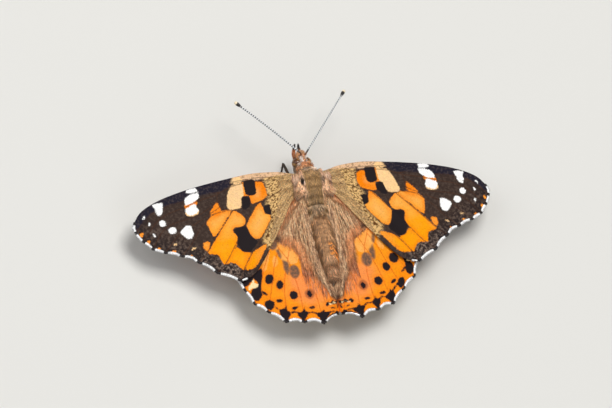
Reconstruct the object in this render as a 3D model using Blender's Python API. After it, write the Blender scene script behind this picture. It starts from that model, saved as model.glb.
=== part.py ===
"""Painted lady butterfly, life size, standing with its wings spread.

The part's frame is in metres, +Z up, with the head towards +Y. The sizes below
are in millimetres, measured from the point midway between the forewing bases.
"""

import math

import bmesh
import bpy
from mathutils import Vector
from mathutils.geometry import delaunay_2d_cdt

MM = 0.001
GAP = 0.3

# The wing-base point seen from the part's origin, under the middle of its box
WING_BASE_AHEAD = 5.498
STANDING_HEIGHT = 8.2
FLOOR = -STANDING_HEIGHT

# Wing membranes and veins
MEMBRANE = 0.5
RIM = 0.34
VEIN_RISE = 0.12
VEIN_HALF_WIDTH = 0.26
VEIN_STEP = 1.3
FILL_STEP = 2.1
POINT_SPACING = 0.3
RIM_STEP = 1.5
TOOTH_WIDTH = 0.5
ROOT_SWELL = 0.3
ROOT_REACH = 3.0

# How the wings are held
WING_SLOPE = 0.105
SLOPE_STARTS_AT = 3.0
TRAILING_DROOP = 0.55
DROOP_REACH = 17.0
HIND_BELOW_FORE = 1.07
GUTTER_DEPTH = 1.1
GUTTER_HALF_WIDTH = 3.6
HIND_SWEEP = 0.068

# The forewing from above, right side, as (X, Y)
FORE_ROOT = [(2.66, -1.5), (2.62, -0.6), (2.62, 0.4)]
FORE_COSTA = [(4, 1.15), (6, 1.65), (10, 2.0), (14, 1.75), (18, 1.35), (22, 0.8), (26, -0.05),
              (29, -1.08), (31, -2.25), (32.1, -3.6)]
# Outer margin: each vein's end, and how far the edge before it curves in
FORE_TEETH = [(32.3, -5.6, -0.25), (31.4, -7.3, -0.1), (30.1, -8.9, 0.12), (28.1, -9.9, 0.08),
              (25.4, -10.95, 0.25), (22.75, -12.5, 0.4), (20.05, -14.8, 0.3), (16.3, -16.85, 0.2)]
FORE_INNER = [(15, -16.6), (13.2, -15.6), (11.6, -13.95), (10, -11.95), (6.8, -7.6), (3.9, -3.5)]
FORE_VEINS = {
    "subcosta": [(2.9, 0.1), (9, 1.05), (14, 1.0), (18, 1.35)],
    "radius": [(2.9, -0.2), (8, 0.35), (13, 0.35), (16.4, -0.6), (17, -0.9), (20.2, -1.5),
               (23, -2.3), (27.6, -3.7), (31.4, -7.3)],
    "radius_1": [(13, 0.35), (17, 0.7), (22, 0.8)],
    "radius_2": [(16.4, -0.6), (20.3, -0.1), (26, -0.05)],
    "radius_3": [(20.2, -1.5), (25, -1.3), (31, -2.25)],
    "radius_4": [(25, -1.3), (29.5, -2.9), (32.3, -5.6)],
    "cell_end": [(17, -0.9), (17.1, -2.2), (16.9, -3.2), (15.8, -4.0)],
    "media_1": [(17.1, -2.2), (21, -4.1), (26.8, -5.4), (30.1, -8.9)],
    "media_2": [(16.9, -3.2), (22.5, -5.9), (25.2, -7.2), (28.1, -9.9)],
    "media_3": [(15.8, -4.0), (18.6, -4.5), (21.2, -6.6), (23.2, -9.0), (25.4, -10.95)],
    "cubitus": [(2.9, -0.8), (6, -1.9), (10.3, -3.5), (14.8, -4.1), (15.8, -4.0)],
    "cubitus_1": [(14.8, -4.1), (18, -7.6), (20.9, -10.9), (22.75, -12.5)],
    "cubitus_2": [(10.3, -3.5), (13.3, -7), (16, -10.6), (18.3, -13.5), (20.05, -14.8)],
    "anal": [(2.9, -1.3), (5.5, -3.6), (8.5, -6.6), (11, -9.7), (13.5, -12.5), (15.4, -15),
             (16.3, -16.85)],
}

# The hindwing from above, right side
HIND_ROOT = [(2.14, -7), (2.3, -5), (2.72, -3.4), (2.86, -1.9)]
HIND_COSTA = [(4.5, -1.9), (7, -3.2), (10.5, -5.6), (13.8, -8.6), (16.1, -11.9), (16.7, -14.6)]
HIND_TEETH = [(16.0, -17.2, -0.1), (14.85, -20.05, 0.15), (12.6, -22.0, 0.25), (10.0, -24.5, 0.3),
              (6.9, -25.2, 0.5), (3.55, -26.2, 0.6), (0.55, -24.8, 0.35)]
HIND_INNER = [(0.22, -24.2), (0.22, -20.0), (0.6, -18.8), (1.45, -17.3), (1.9, -15.3), (2.12, -12)]
HIND_VEINS = {
    "subcosta": [(3.1, -2.3), (7, -4.2), (12, -8), (16.1, -11.9)],
    "radius": [(3.1, -2.7), (6.5, -6), (8.8, -9), (13.5, -14), (16.0, -17.2)],
    "media_1": [(8.8, -9), (10.2, -11.8), (13, -17), (14.85, -20.05)],
    "media_2": [(8.2, -11.2), (9.7, -14.2), (10.8, -17.4), (12.6, -22)],
    "media_3": [(7.1, -13.5), (8.6, -17.5), (9.3, -21), (10, -24.5)],
    "cell_end": [(8.8, -9), (8.2, -11.2), (7.1, -13.5)],
    "cubitus": [(3.2, -3.2), (5.4, -9.5), (7.1, -13.5)],
    "cubitus_1": [(7.1, -13.5), (6.5, -18), (6.5, -22), (6.9, -25.2)],
    "cubitus_2": [(5.4, -9.5), (4.6, -14), (3.8, -20), (3.55, -26.2)],
    "anal": [(3.1, -4.5), (3.0, -9), (2.9, -14), (2.1, -19), (0.55, -24.8)],
}

# Body sections from front to back: Y, half width, top and bottom Z
HEAD = [(5.35, 0.5, -1.75, -2.75), (5.1, 0.78, -1.4, -3.0), (4.75, 0.7, -1.15, -3.15),
        (3.9, 0.64, -0.95, -3.2), (3.1, 0.64, -1.05, -3.0), (2.78, 0.6, -1.25, -2.8)]
THORAX = [(2.48, 0.9, -0.6, -2.9), (2.1, 1.5, 0.05, -3.4), (1.2, 2.15, 0.8, -4.0),
          (-0.2, 2.3, 1.15, -4.4), (-1.8, 2.5, 1.2, -4.5), (-3.4, 2.2, 0.85, -4.2),
          (-4.5, 1.7, 0.25, -3.6), (-5.0, 1.2, -0.35, -2.9)]
ABDOMEN = [(-5.3, 1.2, -0.45, -2.75), (-6.2, 1.55, -0.1, -3.2), (-9, 1.75, 0.05, -3.4),
           (-12, 1.7, 0.1, -3.2), (-14.5, 1.45, 0.0, -2.75), (-16.6, 1.05, -0.25, -2.15),
           (-17.9, 0.45, -0.6, -1.45)]
SECTION_POWER = 2.3
ABDOMEN_SEGMENTS = 7
SEGMENT_GROOVE = 0.07
TEGULA_CENTRE = (1.72, 0.35, 0.4)
TEGULA_RADII = (0.58, 1.5, 0.5)

EYE_CENTRE = (0.96, 3.75, -1.95)
EYE_RADII = (0.78, 0.9, 1.0)

# Feelers and mouthparts, right side where they come in pairs
ANTENNA_ROOT = (0.36, 4.45)
SCAPE = 0.35
SCAPE_RADIUS = 0.25
SHAFT_PIECES = 12
ANTENNA_TIP = (10.1, 15.25, -0.2)
ANTENNA_SHAFT = 0.23
ANTENNA_CLUB = 0.38
CLUB_LENGTH = 1.5
PALP_ROUTE = [(0.52, 4.85, -3.66), (0.56, 5.6, -3.64), (0.48, 6.3, -3.35), (0.38, 6.9, -2.95)]
PALP_RADII = [0.3, 0.34, 0.28, 0.13]
COIL_CENTRE = (3.6, -4.42)
COIL_TURNS = 1.4
COIL_PITCH = 0.52
COIL_INNER = 0.12
COIL_TUBE = 0.12

# Legs: root on the thorax as (X, Y), then knee, ankle and toe
COXA = 0.42
LEGS = {
    "midleg_left": [(-1.3, 0.5), (-3.1, 4.2, -3.0), (-2.8, 2.6, -7.1), (-6.4, 3.9, FLOOR)],
    "midleg_right": [(1.3, 0.5), (4.4, 1.7, -3.7), (5.2, 0.7, -7.3), (8.8, -0.5, FLOOR)],
    "hindleg_left": [(-1.4, -2.2), (-4.5, -5.5, -3.9), (-6.3, -9.2, -7.2), (-8.2, -12.9, FLOOR)],
    "hindleg_right": [(1.4, -2.2), (4.5, -5.5, -3.9), (6.3, -9.2, -7.2), (8.2, -12.9, FLOOR)],
}
FEMUR = 0.29
TIBIA = 0.25
TARSUS = 0.24
FOOT_FLAT = 0.07
HEEL_STEP = 0.9
FORELEG = [(0.72, 1.4), (0.8, 2.7, -4.25), (0.75, 3.9, -4.35)]
FORELEG_RADIUS = 0.25


def clear_scene():
    """Remove every object that the scene opened with."""
    for item in list(bpy.data.objects):
        bpy.data.objects.remove(item, do_unlink=True)


def principled(name, colour, roughness):
    """Return a Principled material of one colour."""
    material = bpy.data.materials.new(name)
    material.use_nodes = True
    shader = material.node_tree.nodes["Principled BSDF"]
    shader.inputs["Base Color"].default_value = (*colour, 1.0)
    shader.inputs["Roughness"].default_value = roughness
    shader.inputs["Metallic"].default_value = 0.0
    material.diffuse_color = (*colour, 1.0)
    return material


def finish(name, mesh, colour, roughness=0.8):
    """Make one named object of a mesh, on the wing-base empty, in its own material."""
    item = bpy.data.objects.new(name, mesh)
    collection.objects.link(item)
    item.parent = wing_base
    mesh.materials.append(principled(name + "_finish", colour, roughness))
    mesh.shade_smooth()
    mesh.set_sharp_from_angle(angle=math.radians(40))
    return item


def mesh_from(bm, name):
    """Turn a bmesh in millimetres into a mesh in metres, with its faces outwards."""
    bmesh.ops.recalc_face_normals(bm, faces=bm.faces)
    if bm.calc_volume(signed=True) < 0:
        bmesh.ops.reverse_faces(bm, faces=bm.faces)
    bmesh.ops.scale(bm, vec=(MM, MM, MM), verts=bm.verts)
    mesh = bpy.data.meshes.new(name)
    bm.to_mesh(mesh)
    bm.free()
    return mesh


def smooth_line(points, step):
    """Sample a Catmull-Rom curve through the points about every step."""
    points = [Vector(p) for p in points]
    ends = [2 * points[0] - points[1]] + points + [2 * points[-1] - points[-2]]
    line = [points[0]]
    for a, b, c, d in zip(ends, ends[1:], ends[2:], ends[3:]):
        pieces = max(1, round((c - b).length / step))
        for i in range(1, pieces + 1):
            t = i / pieces
            line.append(0.5 * (2 * b + (c - a) * t + (2 * a - 5 * b + 4 * c - d) * t ** 2
                               + (3 * b - a - 3 * c + d) * t ** 3))
    return line


def along(stations, y):
    """Read the half width, top and bottom of a body form at Y, smoothly."""
    if y >= stations[0][0]:
        return stations[0][1:]
    for front, back in zip(stations, stations[1:]):
        if y >= back[0]:
            t = (front[0] - y) / (front[0] - back[0])
            return tuple(f + (b - f) * t for f, b in zip(front[1:], back[1:]))
    return stations[-1][1:]


def surface_height(stations, x, y, upper):
    """Return the Z of a body form's back or belly over the point (x, y)."""
    half, top, bottom = along(stations, y)
    share = min(1.0, abs(x) / half)
    rise = (1 - share ** SECTION_POWER) ** (1 / SECTION_POWER)
    side = 1 if upper else -1
    return (top + bottom) / 2 + side * rise * (top - bottom) / 2


def superellipse(angle):
    """Return a unit section's (x, z) at an angle."""
    power = 2 / SECTION_POWER
    c, s = math.cos(angle), math.sin(angle)
    return (math.copysign(abs(c) ** power, c), math.copysign(abs(s) ** power, s))


def body_form(stations, around, rings, grooves=0):
    """Shape a sphere's rings into a body form with flat ends, in its own bmesh."""
    bm = bmesh.new()
    bmesh.ops.create_uvsphere(bm, u_segments=around, v_segments=rings, radius=1.0)
    front, back = stations[0][0], stations[-1][0]
    for vertex in bm.verts:
        latitude = math.acos(max(-1.0, min(1.0, vertex.co.z))) / math.pi * rings
        share = max(0.0, min(1.0, (round(latitude) - 1) / (rings - 2)))
        y = front + (back - front) * share
        half, top, bottom = along(stations, y)
        waist = 1.0
        if grooves:
            waist = 1 - SEGMENT_GROOVE * (1 - abs(math.sin(math.pi * grooves * share))) ** 2
        x, z = superellipse(math.atan2(vertex.co.y, vertex.co.x))
        if vertex.co.xy.length < 1e-4:
            x, z = 0.0, 0.0
        vertex.co = (x * half * waist, y, (top + bottom) / 2 + z * waist * (top - bottom) / 2)
    return bm


def mirrored(points, side):
    """Return (x, y, ...) points on one side of the body."""
    return [(side * p[0], *p[1:]) for p in points]


def fore_height(x, y):
    """Return the forewing's middle surface."""
    droop = min(1.0, max(0.0, -y) / DROOP_REACH) ** 2
    return -WING_SLOPE * (abs(x) - SLOPE_STARTS_AT) - TRAILING_DROOP * droop


def hind_height(x, y):
    """Return the hindwing's middle surface, with its gutter along the abdomen."""
    gutter = max(0.0, 1 - abs(x) / GUTTER_HALF_WIDTH) ** 2
    return fore_height(x, y) - HIND_BELOW_FORE - GUTTER_DEPTH * gutter


def scalloped(start, teeth):
    """Return the outer margin: a blunt tooth at each vein's end and curves between."""
    line = []
    previous = Vector(start)
    for number, (x, y, sag) in enumerate(teeth):
        tooth = Vector((x, y))
        run = (tooth - previous).normalized()
        inward = Vector((run.y, -run.x))
        first = previous + run * TOOTH_WIDTH / 2 if number else previous
        last = tooth - run * TOOTH_WIDTH / 2
        pieces = 4
        for i in range(0 if number else 1, pieces + 1):
            t = i / pieces
            line.append(first.lerp(last, t) + inward * sag * math.sin(math.pi * t) ** 0.8)
        line.append(tooth)
        previous = tooth
    return line


def wing_outline(root, costa, teeth, inner):
    """Return a wing's closed outline from above, clockwise from its root."""
    leading = smooth_line(root[-1:] + costa, RIM_STEP)
    margin = scalloped(costa[-1], teeth)
    trailing = smooth_line([teeth[-1][:2]] + inner + root[:1], RIM_STEP)
    return leading + margin + trailing[1:] + [Vector(p) for p in root[1:-1]]


def distance_to(line, p):
    """Return the distance from p to a line of points, and how far along it is."""
    best, place = 1e9, 0.0
    for i, (a, b) in enumerate(zip(line, line[1:])):
        run = b - a
        t = max(0.0, min(1.0, (p - a).dot(run) / run.length_squared))
        gap = (p - a - run * t).length
        if gap < best:
            best, place = gap, (i + t) / (len(line) - 1)
    return best, place


def inside(outline, p):
    """Say whether p lies within a closed outline."""
    odd = False
    for a, b in zip(outline, outline[1:] + outline[:1]):
        if (a.y > p.y) != (b.y > p.y) and p.x < a.x + (b.x - a.x) * (p.y - a.y) / (b.y - a.y):
            odd = not odd
    return odd


def wing_net(outline, veins):
    """Triangulate a wing from above, with edges along its outline and its veins."""
    points = list(outline)
    count = len(outline)
    edges = [(i, (i + 1) % count) for i in range(count)]

    def near(p, spacing):
        best = min(range(len(points)), key=lambda i: (points[i] - p).length_squared)
        return best if (points[best] - p).length < spacing else None

    for line in veins:
        previous = None
        for p in line:
            place = near(p, POINT_SPACING)
            if place is None:
                points.append(p)
                place = len(points) - 1
            if previous is not None and place != previous:
                edges.append((previous, place))
            previous = place
    fill = []
    for line in veins:
        for a, b in zip(line, line[1:]):
            across = Vector((b.y - a.y, a.x - b.x)).normalized() * VEIN_HALF_WIDTH
            fill += [(a + b) / 2 + across, (a + b) / 2 - across]
    low = Vector((min(p.x for p in outline), min(p.y for p in outline)))
    high = Vector((max(p.x for p in outline), max(p.y for p in outline)))
    rows = int((high.y - low.y) / FILL_STEP) + 1
    columns = int((high.x - low.x) / FILL_STEP) + 1
    for row in range(rows):
        for column in range(columns):
            shift = (column + 0.5 * (row % 2)) * FILL_STEP
            fill.append(low + Vector((shift, row * FILL_STEP)))
    ring = outline + outline[:1]
    for number, p in enumerate(fill):
        spacing = POINT_SPACING * (0.6 if number < len(fill) - rows * columns else 2.2)
        if inside(outline, p) and distance_to(ring, p)[0] > spacing and near(p, spacing) is None:
            points.append(p)
    net = delaunay_2d_cdt(points, edges, [list(range(count))], 1, 1e-4)
    return net[0], net[2]


def wing_solid(outline, veins, height, side, swell_up, swell_down):
    """Build a veined membrane as one closed solid, triangulated alike on both faces."""
    lines = [smooth_line(route, VEIN_STEP) for route in veins.values()]
    points, triangles = wing_net(outline, lines)
    root = outline[-1]
    ring = outline + outline[:1]
    bm = bmesh.new()
    upper, lower = [], []
    for p in points:
        relief = 0.0
        for line in lines:
            gap, place = distance_to(line, p)
            relief = max(relief, VEIN_RISE * (1 - 0.4 * place) * (1 - gap / VEIN_HALF_WIDTH))
        at_rim = distance_to(ring, p)[0] < 1e-3
        half = RIM / 2 if at_rim else MEMBRANE / 2 + relief
        swell = ROOT_SWELL * max(0.0, 1 - (p - root).length / ROOT_REACH)
        z = height(p.x, p.y)
        upper.append(bm.verts.new((side * p.x, p.y, z + half + swell * swell_up)))
        lower.append(bm.verts.new((side * p.x, p.y, z - half - swell * swell_down)))
    edge_use = {}
    for a, b, c in triangles:
        bm.faces.new((upper[a], upper[b], upper[c]))
        bm.faces.new((lower[c], lower[b], lower[a]))
        for start, end in ((a, b), (b, c), (c, a)):
            edge_use[(start, end)] = edge_use.get((start, end), 0) + 1
    for start, end in edge_use:
        if (end, start) not in edge_use:
            bm.faces.new((upper[start], lower[start], lower[end]))
            bm.faces.new((upper[start], lower[end], upper[end]))
    loose = [vertex for vertex in bm.verts if not vertex.link_faces]
    bmesh.ops.delete(bm, geom=loose, context="VERTS")
    return bm


def forewing(name, side):
    """Make one forewing."""
    outline = wing_outline(FORE_ROOT, FORE_COSTA, FORE_TEETH, FORE_INNER)
    bm = wing_solid(outline, FORE_VEINS, fore_height, side, 1.0, 0.0)
    return finish(name, mesh_from(bm, name), (0.75, 0.26, 0.04))


def swept(points, side):
    """Carry one hindwing a little forward or back, as the two are held unalike."""
    return [(p[0], p[1] + side * HIND_SWEEP * (p[0] - 1), *p[2:]) for p in points]


def hindwing(name, side):
    """Make one hindwing."""
    outline = wing_outline(HIND_ROOT, swept(HIND_COSTA, side), swept(HIND_TEETH, side),
                           HIND_INNER)
    veins = {vein: swept(route, side) for vein, route in HIND_VEINS.items()}
    bm = wing_solid(outline, veins, hind_height, side, 0.0, 1.0)
    return finish(name, mesh_from(bm, name), (0.8, 0.3, 0.05))


def ellipsoid(bm, centre, radii, around, rings):
    """Add an ellipsoid to a bmesh."""
    ball = bmesh.ops.create_uvsphere(bm, u_segments=around, v_segments=rings, radius=1.0)
    bmesh.ops.scale(bm, vec=radii, verts=ball["verts"])
    bmesh.ops.translate(bm, vec=centre, verts=ball["verts"])


def thorax():
    """Make the thorax with a tegula over each wing's root."""
    body = finish("thorax", mesh_from(body_form(THORAX, 24, 16), "thorax"), (0.3, 0.2, 0.11))
    lobes = bpy.data.collections.new("tegulae")
    for side in (-1, 1):
        bm = bmesh.new()
        centre = (side * TEGULA_CENTRE[0], *TEGULA_CENTRE[1:])
        ellipsoid(bm, centre, TEGULA_RADII, 12, 8)
        lobe = bpy.data.objects.new("tegula", mesh_from(bm, "tegula"))
        lobe.parent = wing_base
        lobes.objects.link(lobe)
    bpy.context.scene.collection.children.link(lobes)
    join = body.modifiers.new("join", "BOOLEAN")
    join.operation = "UNION"
    join.operand_type = "COLLECTION"
    join.collection = lobes
    join.solver = "EXACT"
    view = bpy.context.evaluated_depsgraph_get()
    joined = bpy.data.meshes.new_from_object(body.evaluated_get(view))
    body.modifiers.clear()
    body.data = joined
    for lobe in list(lobes.objects):
        bpy.data.objects.remove(lobe, do_unlink=True)
    bpy.data.collections.remove(lobes)
    return body


def eye(name, side):
    """Make one eye, a dome with a flat back against the head."""
    bm = bmesh.new()
    ellipsoid(bm, (0, 0, 0), EYE_RADII, 20, 14)
    faces = bm.verts[:] + bm.edges[:] + bm.faces[:]
    bmesh.ops.bisect_plane(bm, geom=faces, plane_co=(0, 0, 0), plane_no=(side, 0, 0),
                           clear_inner=True)
    bmesh.ops.holes_fill(bm, edges=[edge for edge in bm.edges if edge.is_boundary])
    bmesh.ops.translate(bm, vec=(side * EYE_CENTRE[0], *EYE_CENTRE[1:]), verts=bm.verts)
    return finish(name, mesh_from(bm, name), (0.2, 0.11, 0.04), 0.3)


def tube(name, route, radii, colour, roughness=0.6, floor=None):
    """Make a round limb along a route, cut flat where it stands on the floor."""
    curve = bpy.data.curves.new(name, "CURVE")
    curve.dimensions = "3D"
    curve.bevel_depth = MM
    curve.bevel_resolution = 2
    curve.use_fill_caps = True
    spline = curve.splines.new("POLY")
    spline.points.add(len(route) - 1)
    for point, place, radius in zip(spline.points, route, radii):
        point.co = (*(Vector(place) * MM), 1.0)
        point.radius = radius
    guide = bpy.data.objects.new(name, curve)
    collection.objects.link(guide)
    view = bpy.context.evaluated_depsgraph_get()
    made = bpy.data.meshes.new_from_object(guide.evaluated_get(view))
    bpy.data.objects.remove(guide, do_unlink=True)
    bm = bmesh.new()
    bm.from_mesh(made)
    bmesh.ops.remove_doubles(bm, verts=bm.verts, dist=1e-6)
    bmesh.ops.scale(bm, vec=(1 / MM, 1 / MM, 1 / MM), verts=bm.verts)
    if floor is not None:
        geometry = bm.verts[:] + bm.edges[:] + bm.faces[:]
        bmesh.ops.bisect_plane(bm, geom=geometry, plane_co=(0, 0, floor), plane_no=(0, 0, 1),
                               clear_inner=True)
        bmesh.ops.holes_fill(bm, edges=[edge for edge in bm.edges if edge.is_boundary])
    return finish(name, mesh_from(bm, name), colour, roughness)


def blended(values, count):
    """Spread a few values evenly over a count of points."""
    spread = []
    for i in range(count):
        place = i / (count - 1) * (len(values) - 1)
        first = min(int(place), len(values) - 2)
        spread.append(values[first] + (values[first + 1] - values[first]) * (place - first))
    return spread


def antenna(name, side):
    """Make one feeler, a thin shaft that ends in a club."""
    root_x, root_y = ANTENNA_ROOT
    root = Vector((root_x, root_y, surface_height(HEAD, root_x - ANTENNA_SHAFT, root_y, True) + GAP))
    bend = root + Vector((0.12, 0.15, SCAPE))
    tip = Vector(ANTENNA_TIP)
    length = (tip - bend).length
    neck = 1 - CLUB_LENGTH / length
    shaft = [bend.lerp(tip, neck * i / SHAFT_PIECES) for i in range(SHAFT_PIECES + 1)]
    club = [bend.lerp(tip, neck + (1 - neck) * share) for share in (0.25, 0.6, 0.85, 1.0)]
    radii = [SCAPE_RADIUS] * 2 + [ANTENNA_SHAFT] * len(shaft[1:])
    radii += [ANTENNA_CLUB * share for share in (0.85, 1.0, 0.9, 0.5)]
    return tube(name, mirrored([root] + shaft + club, side), radii, (0.06, 0.05, 0.05))


def palp(name, side):
    """Make one palp, reaching forward and up from under the face."""
    route = smooth_line(PALP_ROUTE, 0.3)
    return tube(name, mirrored(route, side), blended(PALP_RADII, len(route)), (0.16, 0.11, 0.08))


def proboscis():
    """Make the coiled tongue, a flat spiral under the head."""
    count = 26
    route = []
    for i in range(count):
        turn = COIL_TURNS * i / (count - 1)
        radius = COIL_INNER + COIL_PITCH * turn
        angle = 2 * math.pi * (turn - COIL_TURNS) + math.radians(60)
        route.append((0, COIL_CENTRE[0] + radius * math.cos(angle),
                      COIL_CENTRE[1] + radius * math.sin(angle)))
    return tube("proboscis", route, [COIL_TUBE] * count, (0.12, 0.07, 0.04))


def coxa_root(x, y):
    """Return where a leg leaves the thorax's underside, the gap below it."""
    inner = math.copysign(abs(x) - COXA, x)
    return Vector((x, y, surface_height(THORAX, inner, y, False) - GAP - 0.08))


def walking_leg(name, joints):
    """Make one leg: coxa, femur, tibia, and a tarsus that lies on the floor."""
    root = coxa_root(*joints[0])
    knee, ankle, toe = (Vector(p) for p in joints[1:])
    lying = Vector((0, 0, TARSUS - FOOT_FLAT))
    heel = ankle.lerp(toe, HEEL_STEP / (toe - ankle).length)
    heel.z = FLOOR
    route, radii = [root, root - Vector((0, 0, 0.3))], [COXA, COXA]
    hip = root + (knee - root) * 0.16 - Vector((0, 0, 0.45))
    bones = ((hip, knee, FEMUR), (knee, ankle, TIBIA), (ankle, heel + lying, TARSUS),
             (heel + lying, toe + lying, TARSUS))
    for start, end, radius in bones:
        run = end - start
        for share in (0.06, 0.3, 0.7, 0.94):
            if run.length > 1.2 or share in (0.3, 0.7):
                route.append(start + run * share)
                swell = 0.9 if share in (0.06, 0.94) else 1.0
                radii.append(radius * swell)
    return tube(name, route, radii, (0.07, 0.05, 0.04), floor=FLOOR)


def foreleg(name, side):
    """Make one of the short, folded front legs."""
    joints = mirrored(FORELEG, side)
    root = coxa_root(*joints[0])
    points = [root, root - Vector((0, -0.15, 0.3))] + [Vector(p) for p in joints[1:]]
    route = smooth_line(points, 0.5)
    radii = blended([FORELEG_RADIUS, FORELEG_RADIUS, 0.15], len(route))
    return tube(name, route, radii, (0.35, 0.25, 0.17))


clear_scene()
collection = bpy.data.collections.new("painted_lady_butterfly")
bpy.context.scene.collection.children.link(collection)
wing_base = bpy.data.objects.new("wing_base", None)
wing_base.location = (0, WING_BASE_AHEAD * MM, STANDING_HEIGHT * MM)
collection.objects.link(wing_base)
bpy.context.view_layer.update()

thorax()
finish("head", mesh_from(body_form(HEAD, 20, 12), "head"), (0.42, 0.2, 0.08))
finish("abdomen", mesh_from(body_form(ABDOMEN, 20, 30, ABDOMEN_SEGMENTS), "abdomen"),
       (0.36, 0.22, 0.12))
proboscis()
for label, sign in (("left", -1), ("right", 1)):
    eye("eye_" + label, sign)
    antenna("antenna_" + label, sign)
    palp("palp_" + label, sign)
    foreleg("foreleg_" + label, sign)
    forewing("forewing_" + label, sign)
    hindwing("hindwing_" + label, sign)
for leg_name, leg_joints in LEGS.items():
    walking_leg(leg_name, leg_joints)
bpy.context.view_layer.update()
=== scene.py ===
"""Painted lady butterfly, life size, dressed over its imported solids.

The solids are in metres, +Z up, head towards +Y. Every size below is in
millimetres, measured from the point midway between the forewing bases, and
each finished mesh is carried over into the solids' frame by settle().
"""

import logging
import math
from dataclasses import dataclass, field
from enum import Enum
from typing import Optional

import bpy
import numpy as np
from mathutils import Matrix, Vector, kdtree
from mathutils.geometry import delaunay_2d_cdt


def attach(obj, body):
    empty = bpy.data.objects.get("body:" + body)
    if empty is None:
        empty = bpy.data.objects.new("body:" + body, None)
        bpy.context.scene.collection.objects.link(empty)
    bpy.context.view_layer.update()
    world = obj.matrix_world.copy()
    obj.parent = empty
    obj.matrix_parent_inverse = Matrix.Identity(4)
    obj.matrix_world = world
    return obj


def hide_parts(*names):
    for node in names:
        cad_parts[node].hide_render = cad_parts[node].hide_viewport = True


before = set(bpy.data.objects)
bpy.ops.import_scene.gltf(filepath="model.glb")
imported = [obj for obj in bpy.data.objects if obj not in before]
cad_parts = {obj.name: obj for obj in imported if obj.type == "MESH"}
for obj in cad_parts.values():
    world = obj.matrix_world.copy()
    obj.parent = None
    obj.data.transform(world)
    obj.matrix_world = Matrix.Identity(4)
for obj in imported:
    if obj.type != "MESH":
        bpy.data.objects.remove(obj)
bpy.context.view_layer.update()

LOG = logging.getLogger("butterfly")
MM = 0.001
WING_BASE = np.array((0.0, 5.498, 8.2))
FLOOR = -8.2
BODY = "root"
Point = tuple[float, ...]
Colour = tuple[float, float, float, float]
Array = np.ndarray
Object, Mesh, Material = bpy.types.Object, bpy.types.Mesh, bpy.types.Material
Node, Socket, Tree = bpy.types.Node, bpy.types.NodeSocket, bpy.types.NodeTree


class Tone(Enum):
    """The kinds of marking on a wing, in the order in which they cover each other."""

    BASAL = "m_basal"
    TAN = "m_tan"
    ORANGE = "m_orange"
    PALE = "m_pale"
    GREY = "m_grey"
    BLACK = "m_black"
    WHITE = "m_white"


class Side(Enum):
    """The two sides of the body."""

    LEFT = -1
    RIGHT = 1

    @property
    def label(self) -> str:
        """The side's name as the solids spell it."""
        return self.name.lower()


class Slot(Enum):
    """The record's material slots."""

    WINGS = "wing_scales"
    HAIR = "body_hair"
    EYE = "eye"
    LIMBS = "feelers_and_legs"
    MOUTH = "mouthparts"


def rgb(red: float, green: float, blue: float) -> Colour:
    """Turn a display colour of 0 to 255 into a linear one.

    Args:
        red: Red channel.
        green: Green channel.
        blue: Blue channel.

    Returns:
        The linear colour with full alpha.
    """
    def one(value: float) -> float:
        share = value / 255
        return share / 12.92 if share <= 0.04045 else ((share + 0.055) / 1.055) ** 2.4

    return (one(red), one(green), one(blue), 1.0)


# Curves and distances in the wing plane


def smooth_line(points: list[Point], step: float) -> Array:
    """Sample a Catmull-Rom curve through the points.

    Args:
        points: The points that the curve passes.
        step: About how far apart the samples lie.

    Returns:
        One row for each sample.
    """
    p = np.asarray(points, float)
    ends = np.vstack([2 * p[0] - p[1], p, 2 * p[-1] - p[-2]])
    line = [p[:1]]
    for a, b, c, d in zip(ends, ends[1:], ends[2:], ends[3:]):
        count = max(1, round(float(np.linalg.norm(c - b)) / step))
        t = (np.arange(1, count + 1) / count)[:, None]
        line.append(0.5 * (2 * b + (c - a) * t + (2 * a - 5 * b + 4 * c - d) * t ** 2
                           + (3 * b - a - 3 * c + d) * t ** 3))
    return np.vstack(line)


def rounded_loop(points: list[Point], step: float) -> Array:
    """Sample a closed blot whose corners are a little rounded.

    Args:
        points: The corners in order.
        step: About how far apart the samples lie.

    Returns:
        The loop's samples, the last beside the first.
    """
    p = np.asarray(points, float)
    around = np.vstack([p[-1], p, p[0], p[1]])
    line = []
    for a, b, c, d in zip(around, around[1:], around[2:], around[3:]):
        count = max(2, round(float(np.linalg.norm(c - b)) / step))
        t = (np.arange(count) / count)[:, None]
        curve = 0.5 * (2 * b + (c - a) * t + (2 * a - 5 * b + 4 * c - d) * t ** 2
                       + (3 * b - a - 3 * c + d) * t ** 3)
        line.append(0.5 * curve + 0.5 * (b + (c - b) * t))
    return np.vstack(line)


def line_distance(places: Array, line: Array) -> tuple[Array, Array]:
    """Measure how far places lie from an open line.

    Args:
        places: Rows of (x, y).
        line: Rows of (x, y) along the line.

    Returns:
        The distance of each place, and how far along the line it is from 0 to 1.
    """
    best = np.full(len(places), 1e9)
    share = np.zeros(len(places))
    for i, (a, b) in enumerate(zip(line, line[1:])):
        run = b - a
        t = np.clip((places - a) @ run / max(float(run @ run), 1e-12), 0, 1)
        gap = np.linalg.norm(places - a - t[:, None] * run, axis=1)
        closer = gap < best
        best = np.where(closer, gap, best)
        share = np.where(closer, (i + t) / (len(line) - 1), share)
    return best, share


def within(places: Array, loop: Array) -> Array:
    """Say which places lie inside a closed loop."""
    odd = np.zeros(len(places), bool)
    x, y = places[:, 0], places[:, 1]
    for a, b in zip(loop, np.roll(loop, -1, axis=0)):
        if a[1] == b[1]:
            continue
        crosses = (a[1] > y) != (b[1] > y)
        odd ^= crosses & (x < a[0] + (b[0] - a[0]) * (y - a[1]) / (b[1] - a[1]))
    return odd


def signed_distance(places: Array, loop: Array) -> Array:
    """Measure the distance to a closed loop, positive inside it."""
    gap, _ = line_distance(places, np.vstack([loop, loop[:1]]))
    return np.where(within(places, loop), gap, -gap)


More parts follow.
